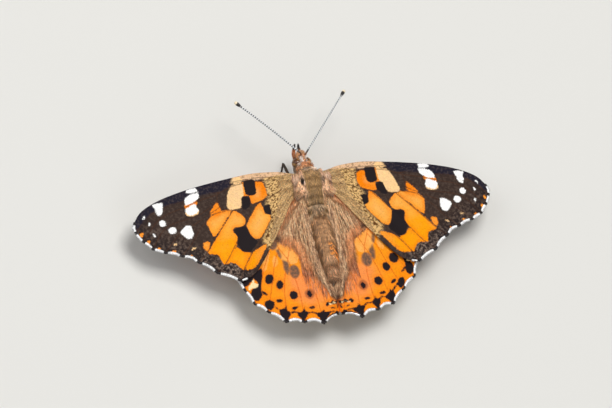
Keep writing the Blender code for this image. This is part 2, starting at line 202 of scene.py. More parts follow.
def ramp(value: Array, low: float, high: float) -> Array:
    """Rise smoothly from 0 at low to 1 at high."""
    t = np.clip((np.asarray(value, float) - low) / (high - low), 0, 1)
    return t * t * (3 - 2 * t)


def blend(first: Array, second: Colour, share: Array) -> Array:
    """Mix rows of colour towards one colour by a share for each row."""
    return first + (np.asarray(second) - first) * share[:, None]


def streaks(across: Array, along: Array, seed: int = 3) -> Array:
    """Return smooth noise from about -1 to 1 that is drawn out along one direction.

    Args:
        across: Millimetres across the streaks.
        along: Millimetres along them.
        seed: Which pattern.

    Returns:
        One number for each place.
    """
    rng = np.random.default_rng(seed)
    total = np.zeros(len(across))
    for pitch in (0.13, 0.18, 0.24, 0.33, 0.47, 0.75):
        turn, sway = rng.uniform(0, 6.28), rng.uniform(0.5, 1.1)
        bend = 0.5 * np.sin(along * rng.uniform(0.6, 1.3) + turn)
        total += np.sin((across + 0.25 * bend) * 6.28 / pitch + along * sway + turn)
    return total / 2.4


# Meshes


def make_mesh(name: str, verts: Array, faces: list[Array]) -> Mesh:
    """Make a mesh quickly from arrays.

    Args:
        name: Its name.
        verts: Rows of (x, y, z).
        faces: Arrays of faces, each with one number of corners.

    Returns:
        The new mesh.
    """
    mesh = bpy.data.meshes.new(name)
    mesh.vertices.add(len(verts))
    mesh.vertices.foreach_set("co", np.asarray(verts, np.float32).ravel())
    corners = np.concatenate([f.ravel() for f in faces]).astype(np.int32)
    sizes = np.concatenate([np.full(len(f), f.shape[1]) for f in faces]).astype(np.int32)
    mesh.loops.add(len(corners))
    mesh.loops.foreach_set("vertex_index", corners)
    mesh.polygons.add(len(sizes))
    starts = np.concatenate([[0], np.cumsum(sizes)[:-1]]).astype(np.int32)
    mesh.polygons.foreach_set("loop_start", starts)
    mesh.polygons.foreach_set("use_smooth", np.ones(len(sizes), bool))
    mesh.update(calc_edges=True)
    mesh.validate()
    return mesh


def add_values(mesh: Mesh, name: str, values: Array) -> None:
    """Give a mesh one number for each vertex."""
    made = mesh.attributes.new(name, "FLOAT", "POINT")
    made.data.foreach_set("value", np.asarray(values, np.float32))


def add_colours(mesh: Mesh, colours: Array) -> None:
    """Give a mesh its own linear colour for each vertex, named tint."""
    made = mesh.attributes.new("tint", "FLOAT_COLOR", "POINT")
    made.data.foreach_set("color", np.asarray(colours, np.float32).ravel())


def add_map(mesh: Mesh, places: Array) -> None:
    """Give a mesh its baking map, one place for each vertex."""
    corners = np.empty(len(mesh.loops), np.int32)
    mesh.loops.foreach_get("vertex_index", corners)
    layer = mesh.uv_layers.new(name="OFBake")
    layer.data.foreach_set("uv", np.asarray(places[corners], np.float32).ravel())


def coordinates(mesh: Mesh) -> Array:
    """Return a mesh's vertices as rows."""
    co = np.empty(len(mesh.vertices) * 3, np.float32)
    mesh.vertices.foreach_get("co", co)
    return co.reshape(-1, 3).astype(float)


def normals(mesh: Mesh) -> Array:
    """Return a mesh's vertex normals as rows."""
    out = np.empty(len(mesh.vertices) * 3, np.float32)
    mesh.vertex_normals.foreach_get("vector", out)
    return out.reshape(-1, 3).astype(float)


def settle(item: Object, finish: Material,
           stands_for: tuple[str, ...] = ()) -> None:
    """Args:
        item: The piece, its mesh in millimetres from the wing bases.
        finish: Its material.
        stands_for: The solids that it replaces.
    """
    mesh = item.data
    co = (coordinates(mesh) + WING_BASE) * MM
    mesh.vertices.foreach_set("co", co.astype(np.float32).ravel())
    mesh.update()
    mesh.materials.clear()
    mesh.materials.append(finish)
    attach(item, BODY)
    if stands_for:
        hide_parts(*stands_for)
    LOG.info("%s: %d faces", item.name, len(mesh.polygons))


def link(name: str, mesh: Mesh) -> Object:
    """Show a mesh as a new object at the origin."""
    item = bpy.data.objects.new(name, mesh)
    bpy.context.scene.collection.objects.link(item)
    return item


def ball(centre: Point, radii: Point, around: int, rings: int) -> Object:
    """Add an ellipsoid as a primitive, its place and size in its mesh.

    Args:
        centre: Its middle.
        radii: Its half sizes.
        around: Segments round it.
        rings: Rings from pole to pole.

    Returns:
        The active new object.
    """
    bpy.ops.object.select_all(action="DESELECT")
    bpy.ops.mesh.primitive_uv_sphere_add(segments=around, ring_count=rings, radius=1.0,
                                         location=centre)
    item = bpy.context.active_object
    item.scale = radii
    bpy.ops.object.transform_apply(location=True, rotation=True, scale=True)
    return item


def joined(name: str, items: list[Object]) -> Object:
    """Join several objects into one."""
    bpy.ops.object.select_all(action="DESELECT")
    for item in items:
        item.select_set(True)
    bpy.context.view_layer.objects.active = items[0]
    bpy.ops.object.join()
    items[0].name = name
    return items[0]


def frames_along(route: Array) -> tuple[Array, Array, Array]:
    """Carry a steady frame along a route.

    Args:
        route: Rows of (x, y, z).

    Returns:
        The run, side and up directions at each point.
    """
    run = np.gradient(route, axis=0)
    run /= np.linalg.norm(run, axis=1)[:, None]
    up = np.array((0.0, 0.0, 1.0)) if abs(run[0, 2]) < 0.9 else np.array((0.0, 1.0, 0.0))
    sides, ups = [], []
    for step in run:
        up = up - step * (up @ step)
        up /= np.linalg.norm(up)
        sides.append(np.cross(step, up))
        ups.append(up)
    return run, np.array(sides), np.array(ups)


def tube_mesh(name: str, route: Array, radii: Array, around: int = 12,
              start: float = 0.0) -> Mesh:
    """Sweep a closed round tube along a route.

    Args:
        name: Its name.
        route: Rows of (x, y, z).
        radii: The radius at each point.
        around: How many sides it has.
        start: How far along its first point counts.

    Returns:
        The mesh, with the distance along it as the value named along.
    """
    _, side, up = frames_along(route)
    angle = np.arange(around) / around * 2 * math.pi
    ring = (np.cos(angle)[None, :, None] * side[:, None, :]
            + np.sin(angle)[None, :, None] * up[:, None, :])
    verts = (route[:, None, :] + ring * np.asarray(radii)[:, None, None]).reshape(-1, 3)
    count = len(route)
    verts = np.vstack([verts, route[0], route[-1]])
    quads = []
    for i in range(count - 1):
        for j in range(around):
            k = (j + 1) % around
            quads.append((i * around + j, i * around + k, (i + 1) * around + k,
                          (i + 1) * around + j))
    first, last = count * around, count * around + 1
    caps = [(first, (j + 1) % around, j) for j in range(around)]
    base = (count - 1) * around
    caps += [(last, base + j, base + (j + 1) % around) for j in range(around)]
    mesh = make_mesh(name, verts, [np.array(quads), np.array(caps)])
    reach = np.concatenate([[0], np.cumsum(np.linalg.norm(np.diff(route, axis=0), axis=1))])
    reach += start
    add_values(mesh, "along", np.concatenate([np.repeat(reach, around), reach[[0, -1]]]))
    return mesh


def merged(name: str, meshes: list[Mesh]) -> Object:
    """Join meshes that carry the same attributes into one object."""
    items = [link(name, mesh) for mesh in meshes]
    return joined(name, items) if len(items) > 1 else items[0]


@dataclass
class Tufts:
    """Many thin closed hairs or scales, each lying along its own direction."""

    roots: Array
    along: Array
    up: Array
    length: Array
    width: Array
    colours: Array
    places: Array
    rise: float = 0.35
    fall: float = 0.25
    sink: float = 0.05
    rings: int = 2
    point: float = 0.35
    dim: float = 0.28

    def build(self, name: str) -> Object:
        """Build them all as one mesh.

        Args:
            name: The piece's name.

        Returns:
            The new object.
        """
        count = len(self.roots)
        up = self.up
        along = self.along - up * np.sum(self.along * up, axis=1)[:, None]
        along /= np.maximum(np.linalg.norm(along, axis=1), 1e-9)[:, None]
        side = np.cross(along, up)
        length, width = self.length[:, None], self.width[:, None]
        verts, shade, uv = [], [], []
        for number in range(self.rings + 1):
            t = number / self.rings
            height = length * (self.rise * t - self.fall * t * t) - self.sink
            centre = self.roots + along * length * t + up * height
            if number == self.rings:
                rows = [centre]
            else:
                half = width * (0.5 - (0.5 - self.point) * t)
                rows = [centre - side * half, centre + side * half,
                        centre + up * width * 0.4]
            verts += rows
            shade += [np.full(count, 1 - self.dim + (self.dim + 0.12) * t)] * len(rows)
            across = (-1, 1, 0)
            uv += [self.places + (0.0012 * across[i % 3], 0.003 * t) for i in range(len(rows))]
        per = len(verts)
        verts = np.stack(verts, axis=1).reshape(-1, 3)
        shade = np.stack(shade, axis=1).reshape(-1)
        uv = np.stack(uv, axis=1).reshape(-1, 2)
        quads, points = [], [(0, 1, 2)]
        for number in range(self.rings - 1):
            a, b = number * 3, number * 3 + 3
            quads += [(a, b, b + 1, a + 1), (a + 1, b + 1, b + 2, a + 2), (a + 2, b + 2, b, a)]
        a, tip = (self.rings - 1) * 3, self.rings * 3
        points += [(a, tip, a + 1), (a + 1, tip, a + 2), (a + 2, tip, a)]
        shift = np.arange(count)[:, None, None] * per
        faces = [(np.array(points)[None] + shift).reshape(-1, 3)]
        if quads:
            faces.append((np.array(quads)[None] + shift).reshape(-1, 4))
        mesh = make_mesh(name, verts, faces)
        colours = np.repeat(self.colours, per, axis=0)
        colours[:, :3] *= shade[:, None]
        add_colours(mesh, colours)
        add_map(mesh, uv)
        return link(name, mesh)


def brush(name: str, route: Array, radii: Array, colours: Array, count: int,
          length: tuple[float, float], width: float = 0.055, rise: float = 0.35
          ) -> Object:
    """Grow short hair round a tube, lying towards its far end.

    Args:
        name: The piece's name.
        route: The tube's middle line.
        radii: Its radius at each point.
        colours: One colour for each point.
        count: How many tufts.
        length: Shortest and longest tuft.
        width: How wide a tuft is.
        rise: How far the tufts stand off.

    Returns:
        The new object.
    """
    rng = np.random.default_rng(count)
    run, side, up = frames_along(route)
    pick = rng.integers(0, len(route) - 1, count)
    angle = rng.uniform(0, 2 * math.pi, count)
    out = side[pick] * np.cos(angle)[:, None] + up[pick] * np.sin(angle)[:, None]
    root = route[pick] + out * np.asarray(radii)[pick][:, None] * 0.92
    tint = colours[pick] * np.exp(rng.normal(0, 0.22, (count, 1)))
    tint[:, 3] = 1.0
    places = np.stack([angle / 6.3 * 0.97, pick / len(route) * 0.97], axis=1)
    along = run[pick] + rng.normal(0, 0.15, (count, 3))
    return Tufts(root, along, out, rng.uniform(*length, count), np.full(count, width), tint,
                 places, rise=rise, fall=rise * 0.6).build(name)


# Node trees


@dataclass
class Graph:
    """Adds and joins the nodes of one tree."""

    tree: Tree

    def node(self, kind: str, inputs: Optional[dict] = None, **settings: object) -> Node:
        """Add a node.

        Args:
            kind: Blender's name for it.
            inputs: Values or sockets for its inputs, by name or number.
            **settings: Its properties.

        Returns:
            The node.
        """
        made = self.tree.nodes.new(kind)
        for key, value in settings.items():
            setattr(made, key, value)
        for key, value in (inputs or {}).items():
            self.put(made.inputs[key], value)
        return made

    def put(self, socket: Socket, value: object) -> None:
        """Link a socket into an input, or set its plain value."""
        if isinstance(value, Socket):
            self.tree.links.new(value, socket)
        else:
            socket.default_value = value

    def math(self, operation: str, *values: object) -> Socket:
        """Add a Math node and return its result."""
        made = self.node("ShaderNodeMath", dict(enumerate(values)), operation=operation)
        return made.outputs[0]

    def mix(self, share: object, first: object, second: object) -> Socket:
        """Mix two colours by a share."""
        made = self.node("ShaderNodeMix", data_type="RGBA")
        self.put(made.inputs[0], share)
        self.put(made.inputs[6], first)
        self.put(made.inputs[7], second)
        return made.outputs[2]

    def value(self, name: str) -> Socket:
        """Read a mesh value by its name."""
        return self.node("ShaderNodeAttribute", attribute_name=name).outputs["Fac"]

    def fit(self, value: object, low: float, high: float, to_low: float = 0.0,
            to_high: float = 1.0, smooth: bool = False) -> Socket:
        """Map a range of values onto another, clamped."""
        made = self.node("ShaderNodeMapRange", {"Value": value, "From Min": low,
                                                "From Max": high, "To Min": to_low,
                                                "To Max": to_high})
        if smooth:
            made.interpolation_type = "SMOOTHSTEP"
        return made.outputs[0]

    def noise(self, where: object, scale: float, detail: float = 3.0,
              rough: float = 0.6) -> Socket:
        """Add a noise texture whose scale counts in features per metre."""
        return self.node("ShaderNodeTexNoise", {"Vector": where, "Scale": scale,
                                                "Detail": detail, "Roughness": rough}
                         ).outputs["Fac"]

    def place(self) -> Socket:
        """Read the place on the piece in its own coordinates."""
        return self.node("ShaderNodeTexCoord").outputs["Object"]

    def group(self, name: str, **inputs: object) -> Node:
        """Use one of the shader groups, with its inputs set."""
        return self.node("ShaderNodeGroup", inputs, node_tree=bpy.data.node_groups[name])

    def relief(self, shader: Node, height: object, strength: float, depth: float) -> None:
        """Raise a shader's surface by a height."""
        made = self.node("ShaderNodeBump", {"Height": height, "Strength": strength,
                                            "Distance": depth})
        self.put(shader.inputs["Normal"], made.outputs["Normal"])


def new_group(name: str, inputs: list[tuple[str, str, object]],
              outputs: list[tuple[str, str]]) -> Tree:
    """Make an empty shader group with named sockets.

    Args:
        name: The group's name.
        inputs: Name, socket type and default of each input.
        outputs: Name and socket type of each output.

    Returns:
        The group.
    """
    group = bpy.data.node_groups.new(name, "ShaderNodeTree")
    for label, kind, default in inputs:
        made = group.interface.new_socket(label, in_out="INPUT", socket_type=kind)
        if default is not None:
            made.default_value = default
    for label, kind in outputs:
        group.interface.new_socket(label, in_out="OUTPUT", socket_type=kind)
    return group


def scale_grain_group() -> None:
    """Build the grain of scales: for each a value, an offset in millimetres and a height."""
    group = new_group("scale_grain",
                      [("Vector", "NodeSocketVector", None), ("Size", "NodeSocketFloat", 0.11)],
                      [("Each", "NodeSocketFloat"), ("Fray", "NodeSocketFloat"),
                       ("Height", "NodeSocketFloat")])
    g = Graph(group)
    start = g.node("NodeGroupInput")
    end = g.node("NodeGroupOutput")
    per_metre = g.math("DIVIDE", 1 / MM, start.outputs["Size"])
    cells = g.node("ShaderNodeTexVoronoi", {"Vector": start.outputs["Vector"],
                                            "Scale": per_metre, "Randomness": 0.8})
    each = g.node("ShaderNodeSeparateColor", {0: cells.outputs["Color"]}).outputs[0]
    drift = g.noise(start.outputs["Vector"], 1400.0, 2.0)
    fray = g.math("ADD", g.math("MULTIPLY", g.math("SUBTRACT", each, 0.5), 0.16),
                  g.math("MULTIPLY", g.math("SUBTRACT", drift, 0.5), 0.32))
    g.put(end.inputs["Each"], each)
    g.put(end.inputs["Fray"], fray)
    g.put(end.inputs["Height"], g.math("SUBTRACT", 1.0, cells.outputs["Distance"]))


def patch_edge_group() -> None:
    """Build the edge of a marking: a distance and a fray, in millimetres, make a mask."""
    group = new_group("patch_edge",
                      [("Distance", "NodeSocketFloat", 0.0), ("Fray", "NodeSocketFloat", 0.0),
                       ("Softness", "NodeSocketFloat", 0.05)],
                      [("Mask", "NodeSocketFloat")])
    g = Graph(group)
    start = g.node("NodeGroupInput")
    end = g.node("NodeGroupOutput")
    whole = g.math("ADD", start.outputs["Distance"], start.outputs["Fray"])
    share = g.math("DIVIDE", whole, start.outputs["Softness"])
    g.put(end.inputs["Mask"], g.fit(share, -1.0, 1.0, smooth=True))


@dataclass(frozen=True)
class Palette:
    """The colours of one face of one kind of wing."""

    ground: Colour
    basal: Colour
    basal_fleck: Colour
    tan: Colour
    orange: Colour
    orange_deep: Colour
    orange_light: Colour
    dust: Colour
    pale: Colour
    grey: Colour
    black: Colour
    white: Colour
    vein: Colour
    rim: Colour


FORE_UPPER = Palette(
    ground=rgb(60, 46, 40), basal=rgb(230, 188, 124), basal_fleck=rgb(104, 68, 36),
    tan=rgb(230, 188, 148), orange=rgb(252, 172, 72), orange_deep=rgb(248, 132, 8),
    orange_light=rgb(254, 160, 6), dust=rgb(150, 128, 114), pale=rgb(254, 208, 146),
    grey=rgb(34, 31, 44), black=rgb(36, 29, 31), white=rgb(254, 253, 251),
    vein=rgb(74, 46, 30), rim=rgb(40, 32, 34))
HIND_UPPER = Palette(
    ground=rgb(252, 150, 26), basal=rgb(186, 134, 88), basal_fleck=rgb(120, 78, 46),
    tan=rgb(206, 164, 128), orange=rgb(253, 152, 26), orange_deep=rgb(250, 146, 74),
    orange_light=rgb(254, 148, 4), dust=rgb(244, 150, 90), pale=rgb(254, 176, 88),
    grey=rgb(114, 86, 68), black=rgb(34, 26, 30), white=rgb(254, 226, 170),
    vein=rgb(214, 88, 14), rim=rgb(40, 32, 34))
FORE_UNDER = Palette(
    ground=rgb(66, 50, 46), basal=rgb(236, 140, 96), basal_fleck=rgb(216, 108, 70),
    tan=rgb(222, 190, 160), orange=rgb(240, 140, 92), orange_deep=rgb(224, 112, 70),
    orange_light=rgb(244, 156, 100), dust=rgb(150, 122, 92), pale=rgb(250, 205, 170),
    grey=rgb(150, 128, 100), black=rgb(46, 36, 36), white=rgb(246, 240, 228),
    vein=rgb(206, 160, 120), rim=rgb(206, 184, 150))
HIND_UNDER = Palette(
    ground=rgb(196, 170, 132), basal=rgb(150, 122, 84), basal_fleck=rgb(112, 88, 58),
    tan=rgb(206, 184, 150), orange=rgb(126, 98, 62), orange_deep=rgb(100, 76, 46),
    orange_light=rgb(146, 116, 76), dust=rgb(160, 134, 98), pale=rgb(214, 192, 156),
    grey=rgb(150, 150, 158), black=rgb(52, 42, 36), white=rgb(240, 234, 220),
    vein=rgb(238, 230, 212), rim=rgb(214, 190, 150))


EDGE_SOFTNESS = {Tone.BASAL: 0.5, Tone.TAN: 0.2, Tone.GREY: 0.25}
CRISP_EDGE = 0.07


@dataclass(frozen=True)
class Finish:
    """A material for one kind of surface, made once and shared."""

    name: str

    def dress(self, g: Graph, shader: Node) -> None:
        """Set the shader's inputs, each finish in its own way."""
        raise NotImplementedError(self.name)

    def material(self) -> Material:
        """Build the material.

        Returns:
            The material, ready for any piece.
        """
        made = bpy.data.materials.new(self.name)
        made.use_nodes = True
        self.dress(Graph(made.node_tree), made.node_tree.nodes["Principled BSDF"])
        return made


@dataclass(frozen=True)
class ScaledFinish(Finish):
    """Hair and fine scales in the mesh's own tints, no two scales quite alike."""

    scale_size: float = 0.16
    light: tuple[float, float] = (0.8, 1.2)
    rough: tuple[float, float] = (0.52, 0.72)
    specular: float = 0.35
    sheen: float = 0.15
    relief: tuple[float, float] = (0.4, 0.00004)

    def colour(self, g: Graph, grain: Node) -> Socket:
        """Return the colour under the grain of scales."""
        return g.node("ShaderNodeAttribute", attribute_name="tint").outputs["Color"]

    def dress(self, g: Graph, shader: Node) -> None:
        """Set colour, roughness and relief from the grain of scales.

        Args:
            g: The material's graph.
            shader: The node whose inputs it sets.
        """
        grain = g.group("scale_grain", Vector=g.place(), Size=self.scale_size)
        light = g.fit(grain.outputs["Each"], 0.0, 1.0, *self.light)
        tone = g.node("ShaderNodeHueSaturation", {"Value": light,
                                                  "Color": self.colour(g, grain)})
        g.put(shader.inputs["Base Color"], tone.outputs["Color"])
        g.put(shader.inputs["Roughness"], g.fit(grain.outputs["Each"], 0.0, 1.0, *self.rough))
        shader.inputs["Specular IOR Level"].default_value = self.specular
        shader.inputs["Sheen Weight"].default_value = self.sheen
        g.relief(shader, grain.outputs["Height"], *self.relief)


@dataclass(frozen=True, kw_only=True)
class WingFinish(ScaledFinish):
    """Scaled wing membrane: markings read from the mesh, frayed scale by scale."""

    upper: Palette
    under: Palette
    vein_width: float = 0.1
    scale_size: float = 0.11
    light: tuple[float, float] = (0.82, 1.14)
    rough: tuple[float, float] = (0.5, 0.72)
    specular: float = 0.06
    sheen: float = 0.0
    relief: tuple[float, float] = (0.35, 0.00003)

    def orange(self, g: Graph, colours: Palette, broad: Socket) -> Socket:
        """Mix the orange: warmer in clouds, deeper at its edges on the forewing.

        Args:
            g: The material's graph.
            colours: The face's palette.
            broad: Wide soft noise about 0.

        Returns:
            The colour.
        """
        warm = g.math("ADD", g.value("warm"), g.math("MULTIPLY", broad, 0.5))
        orange = g.mix(g.fit(warm, 0.0, 0.5), colours.orange_deep, colours.orange)
        orange = g.mix(g.fit(warm, 0.5, 1.0), orange, colours.orange_light)
        if colours is FORE_UPPER:
            inside = g.math("ADD", g.value(Tone.ORANGE.value), g.math("MULTIPLY", broad, 1.6))
            orange = g.mix(g.fit(inside, 0.05, 0.75, 0.6, 0.0), orange, rgb(250, 128, 0))
            middle = g.math("MULTIPLY", g.fit(inside, 0.8, 1.8, 0.0, 0.55),
                            g.fit(warm, 0.5, 0.9, 1.0, 0.0))
            orange = g.mix(middle, orange, rgb(254, 184, 104))
        return orange

    def face(self, g: Graph, colours: Palette, fray: Socket) -> Socket:
        """Lay one face's colours over each other.

        Args:
            g: The material's graph.
            colours: The face's palette.
            fray: How far each scale shifts the edge of a marking.

        Returns:
            The colour.
        """
        fore, hind = colours is FORE_UPPER, colours is HIND_UPPER
        broad = g.math("SUBTRACT", g.noise(g.place(), 500.0, 3.0), 0.5)
        ray = g.node("ShaderNodeCombineXYZ", {"X": g.value("across"), "Y": g.value("outward")})
        fine = g.fit(g.noise(ray.outputs[0], 3.4, 3.0), 0.42, 0.54)
        fleck = g.fit(g.noise(g.place(), 2600.0, 2.0), 0.5, 0.62)
        grit = g.noise(g.place(), 1900.0, 4.0, 0.7)
        orange = self.orange(g, colours, broad)
        coats = {
            Tone.BASAL: g.mix(fine, colours.basal_fleck, colours.basal),
            Tone.TAN: g.mix(g.math("MULTIPLY", fleck, 0.6), colours.tan, colours.basal_fleck),
            Tone.ORANGE: orange,
            Tone.PALE: g.mix(g.fit(broad, -0.1, 0.2, 0.0, 0.6), colours.pale,
                             colours.orange_light if hind else colours.tan),
            Tone.GREY: g.mix(g.math("MULTIPLY", fleck, 0.12 if fore else 0.22),
                             colours.grey, colours.dust),
            Tone.BLACK: colours.black,
            Tone.WHITE: colours.white,
        }
        if hind:
            out = orange
        else:
            night = g.math("MULTIPLY", g.fit(g.value("rim"), 0.4, 3.4, 0.9, 0.0),
                           g.fit(grit, 0.5, 0.6, 1.0, 0.3))
            dusty = g.math("MULTIPLY", g.value("dusty"), g.fit(grit, 0.46, 0.62))
            out = g.mix(night if fore else 0.0, colours.ground, colours.black)
            out = g.mix(dusty, out, colours.dust)
        for tone, colour in coats.items():
            if tone is Tone.BLACK and hind:
                halo = g.fit(g.value(tone.value), -0.7, -0.05, 0.0, 0.45)
                out = g.mix(halo, out, rgb(240, 112, 12))
            if tone is Tone.GREY:
                line = g.fit(g.math("ADD", g.value("vein"), g.math("MULTIPLY", fray, 0.25)),
                             self.vein_width * 0.4, self.vein_width * 1.4, 0.6, 0.0)
                out = g.mix(line, out, colours.vein)
            mask = g.group("patch_edge", Distance=g.value(tone.value), Fray=fray,
                           Softness=EDGE_SOFTNESS.get(tone, CRISP_EDGE))
            out = g.mix(mask.outputs["Mask"], out, colour)
        rim = g.fit(g.math("ADD", g.value("rim"), fray), 0.1, 0.3, 1.0, 0.0)
        return g.mix(rim, out, colours.rim)

    def colour(self, g: Graph, grain: Node) -> Socket:
        """Return the upper face's colour, or the under face's where that is seen."""
        top, bottom = (self.face(g, colours, grain.outputs["Fray"])
                       for colours in (self.upper, self.under))
        return g.mix(g.value("under"), top, bottom)


@dataclass(frozen=True)
class EyeFinish(Finish):
    """A mottled compound eye of fine facets."""

    def dress(self, g: Graph, shader: Node) -> None:
        """Set the mottled bands, the gloss and the facets.

        Args:
            g: The material's graph.
            shader: The node whose inputs it sets.
        """
        place = g.place()
        mottle = g.fit(g.noise(place, 1900.0, 2.0), 0.42, 0.6)
        colour = g.mix(mottle, rgb(84, 46, 18), rgb(196, 146, 78))
        band = g.node("ShaderNodeTexWave", {"Vector": place, "Scale": 260.0, "Distortion": 5.0,
                                            "Detail": 2.0, "Detail Scale": 900.0},
                      wave_type="BANDS", bands_direction="Z")
        colour = g.mix(g.fit(band.outputs["Fac"], 0.0, 0.24, 0.8, 0.0), colour, rgb(34, 18, 12))
        facets = g.node("ShaderNodeTexVoronoi", {"Vector": place, "Scale": 22000.0,
                                                 "Randomness": 0.15})
        g.put(shader.inputs["Base Color"], colour)
        g.put(shader.inputs["Roughness"], g.fit(mottle, 0.0, 1.0, 0.22, 0.34))
        shader.inputs["Coat Weight"].default_value = 0.4
        shader.inputs["Coat Roughness"].default_value = 0.18
        g.relief(shader, g.math("SUBTRACT", 1.0, facets.outputs["Distance"]), 0.5, 0.00002)


@dataclass(frozen=True)
class FeelerFinish(Finish):
    """Dark feelers with pale scale rings, a brown base and a cream tip."""

    length: float = 14.9
    ring: float = 0.42

    def dress(self, g: Graph, shader: Node) -> None:
        """Set the rings by the distance along the feeler.

        Args:
            g: The material's graph.
            shader: The node whose inputs it sets.
        """
        along = g.value("along")
        share = g.math("FRACT", g.math("DIVIDE", along, self.ring))
        fleck = g.math("MULTIPLY", g.math("SUBTRACT", g.noise(g.place(), 9000.0), 0.5), 0.5)
        white = g.fit(g.math("ADD", share, fleck), 0.5, 0.64, 1.0, 0.0)
        shaft = g.math("MULTIPLY", g.fit(along, self.length - 1.6, self.length - 1.2, 1.0, 0.0),
                       g.fit(along, 0.9, 1.6))
        base = g.mix(g.fit(along, 0.3, 0.8), rgb(140, 88, 54), rgb(30, 25, 26))
        colour = g.mix(g.math("MULTIPLY", white, shaft), base, rgb(236, 238, 240))
        tip = g.fit(g.math("ADD", along, fleck), self.length - 0.6, self.length - 0.45)
        g.put(shader.inputs["Base Color"], g.mix(tip, colour, rgb(250, 232, 196)))
        g.put(shader.inputs["Roughness"], g.fit(share, 0.0, 1.0, 0.45, 0.6))


@dataclass(frozen=True, kw_only=True)
class LimbFinish(Finish):
    """Scaled limbs, light at the body and dark beyond, with pale specks."""

    dark: Colour
    light: Colour
    pale: Colour
    change: float = 1.6
    fade: float = 0.6

    def dress(self, g: Graph, shader: Node) -> None:
        """Set the colours by the distance along the limb.

        Args:
            g: The material's graph.
            shader: The node whose inputs it sets.
        """
        speck = g.fit(g.noise(g.place(), 5200.0, 3.0), 0.45, 0.6)
        colour = g.mix(g.fit(g.value("along"), self.change, self.change + self.fade),
                       self.light, self.dark)
        colour = g.mix(g.math("MULTIPLY", speck, 0.55), colour, self.pale)
        g.put(shader.inputs["Base Color"], colour)
        g.put(shader.inputs["Roughness"], g.fit(speck, 0.0, 1.0, 0.42, 0.62))
        g.relief(shader, speck, 0.4, 0.00004)


# Wings


@dataclass(frozen=True)
class Blot:
    """One marking: a closed outline, or an ellipse where radii are given."""

    tone: Tone
    points: tuple[Point, ...]
    radii: Optional[Point] = None
    turn: float = 0.0

    def loop(self) -> Array:
        """Return its outline as rows of (x, y)."""
        if self.radii is None:
            return rounded_loop(list(self.points), 0.35)
        angle = np.linspace(0, 2 * math.pi, 24, endpoint=False)
        flat = np.stack([np.cos(angle) * self.radii[0], np.sin(angle) * self.radii[1]], axis=1)
        c, s = math.cos(math.radians(self.turn)), math.sin(math.radians(self.turn))
        return flat @ np.array(((c, s), (-s, c))) + np.array(self.points[0])


def spot(tone: Tone, x: float, y: float, across: float, deep: Optional[float] = None,
         turn: float = 0.0) -> Blot:
    """Return a round or oval marking by its half sizes."""
    return Blot(tone, ((x, y),), (across, deep or across), turn)


def field_of(places: Array, blots: list[Blot], tone: Tone) -> Array:
    """Measure the signed distance to the nearest marking of one tone."""
    best = np.full(len(places), -3.0)
    for blot in blots:
        if blot.tone is tone:
            best = np.maximum(best, signed_distance(places, blot.loop()))
    return best


B, O, P, G, K, W = Tone.BASAL, Tone.ORANGE, Tone.PALE, Tone.GREY, Tone.BLACK, Tone.WHITE

